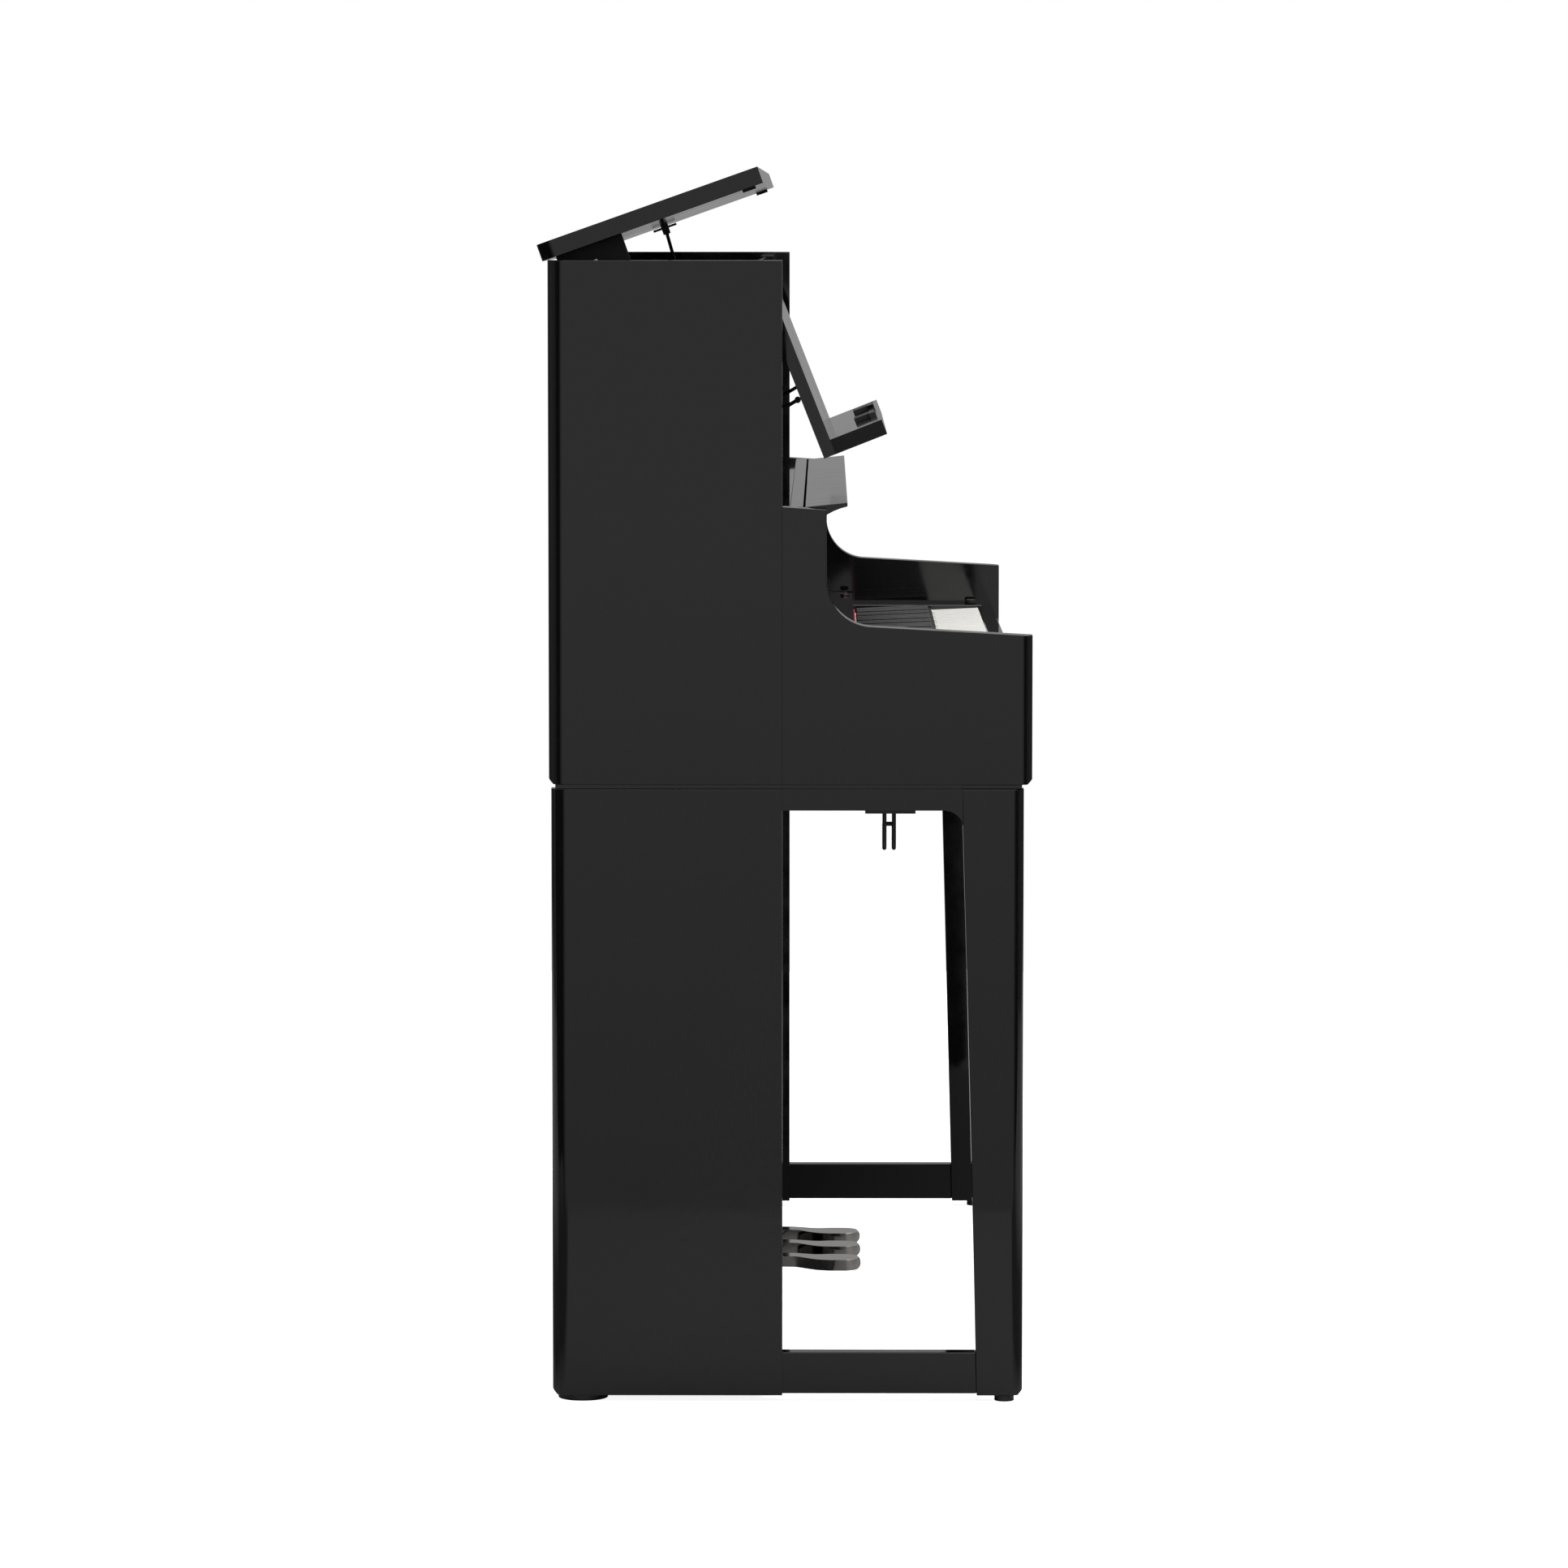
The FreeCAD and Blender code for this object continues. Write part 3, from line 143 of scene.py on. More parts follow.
def roundEdges(piece, width, segments=3, corner=28, seam=None, seamShare=0.3):
    # rounds every edge sharper than corner degrees; those at a seam get a share of the width
    mesh = piece.data
    angles = edgeAngles(mesh)
    weight = mesh.attributes.new("bevel_weight_edge", "FLOAT", "EDGE")
    for edge in mesh.edges:
        sharp = angles.get(edge.key, 0) > math.radians(corner)
        start, end = (mesh.vertices[number].co for number in edge.vertices)
        share = seamShare if seam and seam(start, end) else 1.0
        weight.data[edge.index].value = share if sharp else 0.0
    addModifier(piece, "BEVEL", limit_method="WEIGHT", width=width, segments=segments, use_clamp_overlap=True)
    smooth(piece)
    addModifier(piece, "WEIGHTED_NORMAL", keep_sharp=True, weight=60)


def boardFrom(nodeName, name):
    # a merged copy of a CAD board, with its flat faces whole again
    node = frame["nodes"][nodeName]
    piece = node.copy()
    piece.data = node.data.copy()
    piece.name = name
    bpy.context.scene.collection.objects.link(piece)
    for tag in list(piece.keys()):
        del piece[tag]
    piece.parent = None
    piece.hide_render = False
    piece.hide_viewport = False
    piece.hide_set(False)
    editing(piece)
    bpy.ops.mesh.select_all(action="SELECT")
    bpy.ops.mesh.remove_doubles(threshold=0.00001)
    bpy.ops.mesh.dissolve_limited(angle_limit=math.radians(0.4))
    doneEditing()
    return piece


def bodyOf(nodeName):
    bodies = frame["record"]["behaviour"]["bodies"]
    return next(body for body, members in bodies.items() if nodeName in members)


def jointPlace(name):
    joints = frame["record"]["behaviour"]["joints"]
    return next(joint["pos_m"] for joint in joints if joint["name"] == name)


def finishPiece(piece, body, material, replaced=()):
    piece.data.materials.clear()
    piece.data.materials.append(material)
    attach(piece, body)
    if replaced:
        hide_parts(*replaced)
    return piece


# materials

def linearOf(code):
    # sRGB hex to a linear colour
    parts = [int(code[place:place + 2], 16) / 255 for place in (0, 2, 4)]
    return tuple(part / 12.92 if part < 0.04045 else ((part + 0.055) / 1.055) ** 2.4 for part in parts) + (1.0,)


def addNode(tree, kind, settings=None, links=None):
    made = tree.nodes.new(kind)
    for name, value in (settings or {}).items():
        if isinstance(name, int) or name in made.inputs:
            made.inputs[name].default_value = value
        else:
            setattr(made, name, value)
    for name, source in (links or {}).items():
        tree.links.new(source, made.inputs[name])
    return made


def newMaterial(name):
    material = bpy.data.materials.new(name)
    material.use_nodes = True
    tree = material.node_tree
    tree.nodes.clear()
    surface = addNode(tree, "ShaderNodeBsdfPrincipled")
    addNode(tree, "ShaderNodeOutputMaterial", links={"Surface": surface.outputs["BSDF"]})
    place = addNode(tree, "ShaderNodeTexCoord")
    return material, tree, surface, place.outputs["Object"]


def noiseAt(tree, place, size, detail=3.0, roughness=0.5, stretch=(1, 1, 1)):
    # noise whose lumps are about size metres across
    scaled = addNode(tree, "ShaderNodeMapping", {"Scale": tuple(part / size for part in stretch)}, {"Vector": place})
    return addNode(tree, "ShaderNodeTexNoise", {"Scale": 1.0, "Detail": detail, "Roughness": roughness},
                   {"Vector": scaled.outputs["Vector"]})


def rampOf(tree, source, low, high, start=0.0, end=1.0):
    made = addNode(tree, "ShaderNodeMapRange", {"From Min": low, "From Max": high, "To Min": start, "To Max": end},
                   {"Value": source})
    return made.outputs["Result"]


def mixColours(tree, factor, first, second):
    made = addNode(tree, "ShaderNodeMix", {"data_type": "RGBA"})
    made.inputs[6].default_value = first
    made.inputs[7].default_value = second
    tree.links.new(factor, made.inputs[0])
    return made.outputs[2]


def bumpFrom(tree, surface, height, distance, strength=1.0, previous=None):
    made = addNode(tree, "ShaderNodeBump", {"Distance": distance, "Strength": strength}, {"Height": height})
    if previous:
        tree.links.new(previous, made.inputs["Normal"])
    tree.links.new(made.outputs["Normal"], surface.inputs["Normal"])
    return made.outputs["Normal"]


polyesterFinish = {"colour": "0A0A0B", "worn": "1B1B1C", "ior": 1.5, "sheenSize": 60 * mm, "peelSize": 5 * mm,
                   "peelHeight": 0.0008 * mm, "roughest": 0.085, "smoothest": 0.03}


def polishedPolyester():
    # black polyester lacquer, flow-coated and buffed: deep black, a wet gloss with a trace of orange peel,
    # faint wipe haze in the roughness and edges that are a touch greyer where cloths have rubbed them
    material, tree, surface, place = newMaterial("polishedPolyester")
    finish = polyesterFinish
    haze = noiseAt(tree, place, finish["sheenSize"], 4.0, 0.6)
    scuffs = noiseAt(tree, place, 1.2 * mm, 2.0, 0.7, (1, 1, 0.12))
    peel = noiseAt(tree, place, finish["peelSize"], 2.0, 0.4)
    shape = addNode(tree, "ShaderNodeNewGeometry")
    worn = rampOf(tree, shape.outputs["Pointiness"], 0.505, 0.56)
    rubbed = addNode(tree, "ShaderNodeMath", {"operation": "MULTIPLY"},
                     {0: worn, 1: rampOf(tree, scuffs.outputs["Fac"], 0.45, 0.75)})
    colour = mixColours(tree, rubbed.outputs[0], linearOf(finish["colour"]), linearOf(finish["worn"]))
    tree.links.new(colour, surface.inputs["Base Color"])
    gloss = rampOf(tree, haze.outputs["Fac"], 0.35, 0.7, finish["smoothest"], finish["roughest"])
    tree.links.new(gloss, surface.inputs["Roughness"])
    surface.inputs["IOR"].default_value = finish["ior"]
    bumpFrom(tree, surface, peel.outputs["Fac"], finish["peelHeight"])
    return material


def satinBoard():
    # fibreboard with a thin satin black foil: grey-black, fine pressed grain, no mirror
    material, tree, surface, place = newMaterial("satinFoilBoard")
    grain = noiseAt(tree, place, 0.8 * mm, 4.0, 0.6, (0.08, 1, 1))
    cloud = noiseAt(tree, place, 70 * mm, 2.0, 0.5)
    colour = mixColours(tree, cloud.outputs["Fac"], linearOf("141415"), linearOf("1C1C1D"))
    tree.links.new(colour, surface.inputs["Base Color"])
    tree.links.new(rampOf(tree, grain.outputs["Fac"], 0.3, 0.7, 0.42, 0.58), surface.inputs["Roughness"])
    surface.inputs["IOR"].default_value = 1.48
    bumpFrom(tree, surface, grain.outputs["Fac"], 0.03 * mm)
    return material


def hardboard():
    # pressed hardboard back, painted black: slightly fibrous and dusty
    material, tree, surface, place = newMaterial("paintedHardboard")
    fibre = noiseAt(tree, place, 1.5 * mm, 5.0, 0.7)
    dust = noiseAt(tree, place, 120 * mm, 4.0, 0.6)
    colour = mixColours(tree, rampOf(tree, dust.outputs["Fac"], 0.4, 0.75), linearOf("262524"), linearOf("353330"))
    tree.links.new(colour, surface.inputs["Base Color"])
    tree.links.new(rampOf(tree, fibre.outputs["Fac"], 0.3, 0.7, 0.6, 0.8), surface.inputs["Roughness"])
    surface.inputs["IOR"].default_value = 1.47
    bumpFrom(tree, surface, fibre.outputs["Fac"], 0.08 * mm)
    return material


def ivoryAcrylic():
    # cast acrylic key tops with an ivory look: warm white, satin, faint lengthwise grain lines
    material, tree, surface, place = newMaterial("ivoryAcrylic")
    grain = noiseAt(tree, place, 0.9 * mm, 3.0, 0.6, (1, 0.02, 1))
    cloud = noiseAt(tree, place, 35 * mm, 2.0, 0.5, (1, 0.3, 1))
    colour = mixColours(tree, cloud.outputs["Fac"], linearOf("F4F3EE"), linearOf("EFEDE7"))
    tree.links.new(colour, surface.inputs["Base Color"])
    tree.links.new(rampOf(tree, grain.outputs["Fac"], 0.3, 0.7, 0.22, 0.34), surface.inputs["Roughness"])
    surface.inputs["IOR"].default_value = 1.49
    surface.inputs["Subsurface Weight"].default_value = 0.08
    surface.inputs["Subsurface Radius"].default_value = (0.002, 0.0018, 0.0014)
    bumpFrom(tree, surface, grain.outputs["Fac"], 0.01 * mm)
    return material


def ebonyResin():
    # black phenolic keys with an ebony feel: matte, fine drawn grain, slightly polished by fingers
    material, tree, surface, place = newMaterial("ebonyResin")
    grain = noiseAt(tree, place, 0.7 * mm, 4.0, 0.65, (1, 0.04, 1))
    colour = mixColours(tree, grain.outputs["Fac"], linearOf("070707"), linearOf("0E0E0D"))
    tree.links.new(colour, surface.inputs["Base Color"])
    tree.links.new(rampOf(tree, grain.outputs["Fac"], 0.3, 0.7, 0.26, 0.4), surface.inputs["Roughness"])
    surface.inputs["IOR"].default_value = 1.5
    bumpFrom(tree, surface, grain.outputs["Fac"], 0.02 * mm)
    return material


def feltOf(name, dark, light, pile=0.6 * mm, sheen=0.35):
    # pressed wool felt: soft matte nap with short fibres lying all ways
    material, tree, surface, place = newMaterial(name)
    nap = noiseAt(tree, place, pile, 5.0, 0.75)
    clumps = noiseAt(tree, place, 6 * pile, 3.0, 0.6)
    both = addNode(tree, "ShaderNodeMath", {"operation": "MULTIPLY"},
                   {0: nap.outputs["Fac"], 1: clumps.outputs["Fac"]})
    colour = mixColours(tree, rampOf(tree, both.outputs[0], 0.12, 0.4), linearOf(dark), linearOf(light))
    tree.links.new(colour, surface.inputs["Base Color"])
    surface.inputs["Roughness"].default_value = 0.95
    surface.inputs["IOR"].default_value = 1.45
    surface.inputs["Sheen Weight"].default_value = sheen
    surface.inputs["Sheen Roughness"].default_value = 0.5
    bumpFrom(tree, surface, both.outputs[0], 0.35 * mm)
    return material


def chromePlate():
    # bright chrome over polished steel: mirror with faint shoe-rubbed haze
    material, tree, surface, place = newMaterial("chromePlate")
    haze = noiseAt(tree, place, 12 * mm, 4.0, 0.6)
    rub = noiseAt(tree, place, 0.8 * mm, 2.0, 0.7, (1, 0.15, 1))
    colour = mixColours(tree, haze.outputs["Fac"], linearOf("D2CECA"), linearOf("C6C1BC"))
    tree.links.new(colour, surface.inputs["Base Color"])
    surface.inputs["Metallic"].default_value = 1.0
    both = addNode(tree, "ShaderNodeMath", {"operation": "MULTIPLY"}, {0: haze.outputs["Fac"], 1: rub.outputs["Fac"]})
    tree.links.new(rampOf(tree, both.outputs[0], 0.15, 0.4, 0.04, 0.14), surface.inputs["Roughness"])
    bumpFrom(tree, surface, haze.outputs["Fac"], 0.01 * mm)
    return material


def metalOf(name, dark, light, roughness, grainSize=0.4 * mm, stretch=(0.03, 1, 1)):
    # rolled or drawn metal with fine lines along the sheet
    material, tree, surface, place = newMaterial(name)
    lines = noiseAt(tree, place, grainSize, 3.0, 0.6, stretch)
    colour = mixColours(tree, lines.outputs["Fac"], linearOf(dark), linearOf(light))
    tree.links.new(colour, surface.inputs["Base Color"])
    surface.inputs["Metallic"].default_value = 1.0
    tree.links.new(rampOf(tree, lines.outputs["Fac"], 0.3, 0.7, roughness - 0.06, roughness + 0.08),
                   surface.inputs["Roughness"])
    bumpFrom(tree, surface, lines.outputs["Fac"], 0.01 * mm)
    return material


def coatedBlack(name, dark, light, roughness, grit, height, ior=1.5):
    # dark moulded or painted surface with a fine even grit
    material, tree, surface, place = newMaterial(name)
    fine = noiseAt(tree, place, grit, 3.0, 0.6)
    cloud = noiseAt(tree, place, 25 * mm, 2.0, 0.5)
    colour = mixColours(tree, cloud.outputs["Fac"], linearOf(dark), linearOf(light))
    tree.links.new(colour, surface.inputs["Base Color"])
    tree.links.new(rampOf(tree, fine.outputs["Fac"], 0.3, 0.7, roughness - 0.07, roughness + 0.07),
                   surface.inputs["Roughness"])
    surface.inputs["IOR"].default_value = ior
    bumpFrom(tree, surface, fine.outputs["Fac"], height)
    return material


def beechPly():
    # pale beech plywood of the key frame: soft figure along the length and darker ply lines
    material, tree, surface, place = newMaterial("beechPlywood")
    figure = noiseAt(tree, place, 6 * mm, 4.0, 0.6, (0.05, 1, 1))
    plies = addNode(tree, "ShaderNodeTexWave", {"Scale": 1.0, "Distortion": 0.6, "Detail": 2.0,
                                                "bands_direction": "Z"},
                    {"Vector": addNode(tree, "ShaderNodeMapping", {"Scale": (40, 40, 330)},
                                       {"Vector": place}).outputs["Vector"]})
    both = addNode(tree, "ShaderNodeMath", {"operation": "MULTIPLY"},
                   {0: figure.outputs["Fac"], 1: plies.outputs["Fac"]})
    colour = mixColours(tree, both.outputs[0], linearOf("A98257"), linearOf("D3B184"))
    tree.links.new(colour, surface.inputs["Base Color"])
    surface.inputs["Roughness"].default_value = 0.55
    surface.inputs["IOR"].default_value = 1.46
    bumpFrom(tree, surface, figure.outputs["Fac"], 0.03 * mm)
    return material


def grilleCloth():
    # open black speaker cloth: a fine square weave, drawn a little coarser than life so that it shows
    material, tree, surface, place = newMaterial("speakerCloth")
    turn = addNode(tree, "ShaderNodeMapping", {"Scale": (1 / (1.2 * mm),) * 3}, {"Vector": place}).outputs["Vector"]
    warp = addNode(tree, "ShaderNodeTexWave", {"Scale": 1.0, "bands_direction": "X"}, {"Vector": turn})
    weft = addNode(tree, "ShaderNodeTexWave", {"Scale": 1.0, "bands_direction": "Z"}, {"Vector": turn})
    weave = addNode(tree, "ShaderNodeMath", {"operation": "MULTIPLY"}, {0: warp.outputs["Fac"], 1: weft.outputs["Fac"]})
    colour = mixColours(tree, weave.outputs[0], linearOf("0A0A0A"), linearOf("2A2A2A"))
    tree.links.new(colour, surface.inputs["Base Color"])
    surface.inputs["Roughness"].default_value = 0.9
    surface.inputs["IOR"].default_value = 1.45
    bumpFrom(tree, surface, weave.outputs[0], 0.2 * mm)
    return material


def powerLight():
    # small clear red lens over a lamp that is off-duty dim
    material, tree, surface, place = newMaterial("indicatorLens")
    facets = noiseAt(tree, place, 0.5 * mm, 1.0, 0.4)
    colour = mixColours(tree, facets.outputs["Fac"], linearOf("7A1414"), linearOf("A32020"))
    tree.links.new(colour, surface.inputs["Base Color"])
    surface.inputs["Roughness"].default_value = 0.15
    surface.inputs["IOR"].default_value = 1.55
    bumpFrom(tree, surface, facets.outputs["Fac"], 0.01 * mm)
    return material


polyester = polishedPolyester()
foilBoard = satinBoard()
backBoard = hardboard()
ivory = ivoryAcrylic()
ebony = ebonyResin()
redFelt = feltOf("redWoolFelt", "8E0410", "D8060E", sheen=0.1)
blackFelt = feltOf("blackWoolFelt", "0B0B0B", "1E1D1D")
chrome = chromePlate()
zinc = metalOf("zincPlatedSteel", "8F9294", "B4B6B8", 0.34)
blackPaint = coatedBlack("powderCoatedSteel", "101011", "181819", 0.36, 0.5 * mm, 0.012 * mm)
blackSteel = metalOf("blackOxideSteel", "1E1F20", "2C2D2E", 0.38)
mouldedPlastic = coatedBlack("mouldedAbs", "121213", "1A1A1B", 0.42, 0.35 * mm, 0.02 * mm, 1.53)
mattePaint = coatedBlack("matteBlackPaint", "060606", "0B0B0B", 0.62, 0.8 * mm, 0.02 * mm)
softRubber = coatedBlack("nitrileRubber", "151515", "1F1E1E", 0.72, 0.7 * mm, 0.03 * mm, 1.52)
plywood = beechPly()
cloth = grilleCloth()
lens = powerLight()
print("materials made:", len(bpy.data.materials))


# case boards

caseEdges = {"edge": 1.3 * mm, "segments": 3, "seamShare": 0.22, "seamReach": 1 * mm, "legTopAbove": 0.58}


def atCaseFront(start, end):
    # the joint between the case sides and the pieces in front of them
    return abs(start.y) < caseEdges["seamReach"] and abs(end.y) < caseEdges["seamReach"]


def atLegTop(start, end):
    # the joint between the back of a leg and the brace above it
    legBack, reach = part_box("leg_bass")[1].y, caseEdges["seamReach"]
    near = abs(start.y - legBack) < reach and abs(end.y - legBack) < reach
    return near and min(start.z, end.z) > caseEdges["legTopAbove"]


sharpEdge = 0.5 * mm
glossBoards = {
    "upper_side_bass": ("upperSideBass", atCaseFront, caseEdges["edge"]),
    "upper_side_treble": ("upperSideTreble", atCaseFront, caseEdges["edge"]),
    "cheek_bass": ("cheekBass", atCaseFront, caseEdges["edge"]),
    "cheek_treble": ("cheekTreble", atCaseFront, caseEdges["edge"]),
    "lower_side_bass": ("lowerSideBass", atCaseFront, caseEdges["edge"]),
    "lower_side_treble": ("lowerSideTreble", atCaseFront, caseEdges["edge"]),
    "leg_bass": ("legBass", atLegTop, caseEdges["edge"]),
    "leg_treble": ("legTreble", atLegTop, caseEdges["edge"]),
    "leg_braces": ("legBraces", lambda start, end: atCaseFront(start, end) or atLegTop(start, end),
                   caseEdges["edge"]),
    "toe_rails": ("toeRails", atCaseFront, caseEdges["edge"]),
    "key_slip": ("keySlip", None, caseEdges["edge"]),
    "key_blocks": ("keyBlocks", None, caseEdges["edge"]),
    "name_board": ("nameBoard", None, sharpEdge),
    "fallboard_rest_board": ("fallboardRestBoard", None, sharpEdge),
    "lower_front_panel": ("lowerFrontPanel", None, caseEdges["edge"]),
    "pedal_rail": ("pedalRail", None, caseEdges["edge"]),
    "lid_board": ("lidBoard", None, sharpEdge),
    "lid_rail": ("lidRail", None, sharpEdge),
    "music_panel": ("musicPanel", None, sharpEdge),
    "music_ledge": ("musicLedge", None, sharpEdge),
    "speaker_grilles": ("speakerGrilles", None, sharpEdge),
}

# the tongues that close the shadow groove come almost flush at the leg's front and the stand's back
tongueLook = {"atLeg": 6 * mm, "atBack": 3.5 * mm, "height": 6 * mm, "topBand": 1 * mm, "endBand": 0.5 * mm}
grooveTongues = {"leg_bass": (-1, tongueLook["atLeg"]), "leg_treble": (-1, tongueLook["atLeg"]),
                 "lower_side_bass": (1, tongueLook["atBack"]), "lower_side_treble": (1, tongueLook["atBack"])}


def stretchTongue(board, side, step):
    mesh = board.data
    top = max(point.co.z for point in mesh.vertices)
    end = max(side * point.co.y for point in mesh.vertices if point.co.z > top - tongueLook["topBand"])
    for point in mesh.vertices:
        if point.co.z > top - tongueLook["height"] and abs(side * point.co.y - end) < tongueLook["endBand"]:
            point.co.y += side * step


for nodeName, (pieceName, seam, edge) in glossBoards.items():
    board = boardFrom(nodeName, pieceName)
    if nodeName in grooveTongues:
        stretchTongue(board, *grooveTongues[nodeName])
    roundEdges(board, edge, caseEdges["segments"], seam=seam, seamShare=caseEdges["seamShare"])
    finishPiece(board, bodyOf(nodeName), polyester, [nodeName])
print("gloss boards made:", len(glossBoards))

plainBoards = {
    "keybed": ("keyBed", foilBoard),
    "upper_front_board": ("upperFrontBoard", foilBoard),
    "top_back_rail": ("topBackRail", foilBoard),
    "bottom_board": ("bottomBoard", foilBoard),
    "upper_back_panel": ("upperBackPanel", backBoard),
    "lower_back_panel": ("lowerBackPanel", backBoard),
}
plainEdges = {"edge": 0.6 * mm, "segments": 2}

for nodeName, (pieceName, material) in plainBoards.items():
    board = boardFrom(nodeName, pieceName)
    roundEdges(board, plainEdges["edge"], plainEdges["segments"])
    finishPiece(board, bodyOf(nodeName), material, [nodeName])
print("plain boards made:", len(plainBoards))


# key cover

coverLook = {"edge": 0.7 * mm, "segments": 3, "corner": 34}
cover = boardFrom("fallboard_leaf", "keyCover")
roundEdges(cover, coverLook["edge"], coverLook["segments"], corner=coverLook["corner"])
finishPiece(cover, "fallboard", polyester, ["fallboard_leaf"])
print("key cover made")


# keys

keyTilt = math.radians(2.5)
keyHinge = Vector(jointPlace("key_c_press"))
whiteKeyLook = {"edge": 0.8 * mm, "segments": 3, "corner": 40, "lip": 3.2 * mm, "lipReach": 0.9 * mm,
                "frontBand": 1 * mm}


def tilted(piece, angle):
    # turns the whole mesh about the keys' hinge line
    turn = Matrix.Translation(keyHinge) @ Matrix.Rotation(angle, 4, "X") @ Matrix.Translation(-keyHinge)
    piece.data.transform(turn)


def makeWhiteKeys(nodeName, name):
    keys = boardFrom(nodeName, name)
    tilted(keys, keyTilt)
    top = max(point.co.z for point in keys.data.vertices)
    front = min(point.co.y for point in keys.data.vertices)
    # the front face is set back a little below the key top's lip
    editing(keys)
    bpy.ops.mesh.select_all(action="SELECT")
    bpy.ops.mesh.bisect(plane_co=(0, 0, top - whiteKeyLook["lip"]), plane_no=(0, 0, 1))
    doneEditing()
    pickFaces(keys, lambda centre, normal: normal.y < -0.9 and centre.y < front + whiteKeyLook["frontBand"]
              and centre.z < top - whiteKeyLook["lip"])
    bpy.ops.object.mode_set(mode="EDIT")
    bpy.ops.mesh.extrude_region_move(TRANSFORM_OT_translate={"value": (0, whiteKeyLook["lipReach"], 0)})
    doneEditing()
    editing(keys)
    bpy.ops.mesh.select_all(action="SELECT")
    bpy.ops.mesh.normals_make_consistent(inside=False)
    doneEditing()
    roundEdges(keys, whiteKeyLook["edge"], whiteKeyLook["segments"], corner=whiteKeyLook["corner"])
    tilted(keys, -keyTilt)
    return finishPiece(keys, bodyOf(nodeName), ivory, [nodeName])


for nodeName, pieceName in (("white_keys_bass", "whiteKeysBass"), ("white_keys_treble", "whiteKeysTreble"),
                            ("key_c", "middleKeyC"), ("key_d", "middleKeyD")):
    makeWhiteKeys(nodeName, pieceName)

blackKeyLook = {"topShare": 0.84, "topBand": 0.5 * mm, "edge": 1.4 * mm, "segments": 4, "corner": 20}


def makeBlackKeys(nodeName, name):
    # tapered towards the top, with well rounded top edges
    keys = boardFrom(nodeName, name)
    tilted(keys, keyTilt)
    top = max(point.co.z for point in keys.data.vertices)
    band = top - blackKeyLook["topBand"]
    tops = [face.center.x for face in keys.data.polygons if face.normal.z > 0.99 and face.center.z > band]
    for point in keys.data.vertices:
        if point.co.z > band:
            middle = min(tops, key=lambda x: abs(x - point.co.x))
            point.co.x = middle + (point.co.x - middle) * blackKeyLook["topShare"]
    roundEdges(keys, blackKeyLook["edge"], blackKeyLook["segments"], corner=blackKeyLook["corner"])
    tilted(keys, -keyTilt)
    return finishPiece(keys, bodyOf(nodeName), ebony, [nodeName])


for nodeName, pieceName in (("black_keys_bass", "blackKeysBass"), ("black_keys_treble", "blackKeysTreble"),
                            ("key_c_sharp", "middleKeyCSharp")):
    makeBlackKeys(nodeName, pieceName)
print("keys made")

feltLook = {"edge": 0.8 * mm, "segments": 3}


def makeKeyFelt():
    # the red strip that closes the gap behind the keys, with a soft rounded top
    low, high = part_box("key_felt")
    strip = addBlock("keyFelt", low, high)
    addModifier(strip, "BEVEL", limit_method="ANGLE", width=feltLook["edge"], segments=feltLook["segments"])
    finishPiece(strip, "case", redFelt, ["key_felt"])
    smooth(strip, 60)
    return strip


makeKeyFelt()
print("felt made")


# metalwork, plastics and rubber

smallParts = {
    "pedal_soft": ("pedalSoft", chrome, "chrome", 2.2 * mm, 5),
    "pedal_sostenuto": ("pedalSostenuto", chrome, "chrome", 2.2 * mm, 5),
    "pedal_damper": ("pedalDamper", chrome, "chrome", 2.2 * mm, 5),
    "pedal_bracket": ("pedalBracket", zinc, "steel", 0.4 * mm, 2),
    "lid_hinge_fixed": ("lidHingeFixed", blackSteel, "black_metal", 0.15 * mm, 2),
    "lid_hinge_moving": ("lidHingeMoving", blackSteel, "black_metal", 0.15 * mm, 2),
    "lid_stay_plate": ("lidStayPlate", blackPaint, "black_metal", 0.3 * mm, 2),
    "lid_stay_rod": ("lidStayRod", blackSteel, "black_metal", 0.3 * mm, 2),
    "lid_stay_guide": ("lidStayGuide", blackPaint, "black_metal", 0.4 * mm, 2),
    "headphone_hook": ("headphoneHook", blackPaint, "black_metal", 0.4 * mm, 2),
    "music_stays": ("musicStays", blackPaint, "black_metal", 0.4 * mm, 2),
    "fallboard_arms": ("fallboardArms", mattePaint, "black_metal", 0.5 * mm, 2),
    "speakers": ("speakers", blackPaint, "black_metal", 0.6 * mm, 2),
    "electronics_box": ("electronicsBox", zinc, "black_metal", 0.8 * mm, 2),
    "page_holder_bass": ("pageHolderBass", mouldedPlastic, "black_plastic", 1.9 * mm, 4),
    "page_holder_treble": ("pageHolderTreble", mouldedPlastic, "black_plastic", 1.9 * mm, 4),
    "power_inlet": ("powerInlet", mouldedPlastic, "black_plastic", 0.5 * mm, 2),
    "power_button": ("powerButton", mouldedPlastic, "black_plastic", 0.8 * mm, 3),
    "jack_box": ("jackBox", mouldedPlastic, "black_plastic", 1.0 * mm, 3),
    "feet": ("feet", mouldedPlastic, "black_plastic", 0.9 * mm, 3),
    "fallboard_bumpers": ("fallboardBumpers", softRubber, "rubber", 1.2 * mm, 4),
    "lid_end_block": ("lidEndBlock", mattePaint, "black_plastic", 0.8 * mm, 3),
    "lid_pads": ("lidPads", softRubber, "rubber", 0.6 * mm, 3),
    "key_frame": ("keyFrame", plywood, "key_frame_board", 0.6 * mm, 2),
}

for nodeName, (pieceName, material, slotName, edge, segments) in smallParts.items():
    part = boardFrom(nodeName, pieceName)
    roundEdges(part, edge, segments, corner=38)
    finishPiece(part, bodyOf(nodeName), material, [nodeName])
print("small parts made:", len(smallParts))


# trim on the boards, and painted shade on the music ledge's ends

# painted shade: thin matte black caps that darken the ends of the music ledge
ledgeEndShadeLook = {"depth": 0.8 * mm, "proud": 0.6 * mm, "edge": 0.25 * mm, "segments": 2}


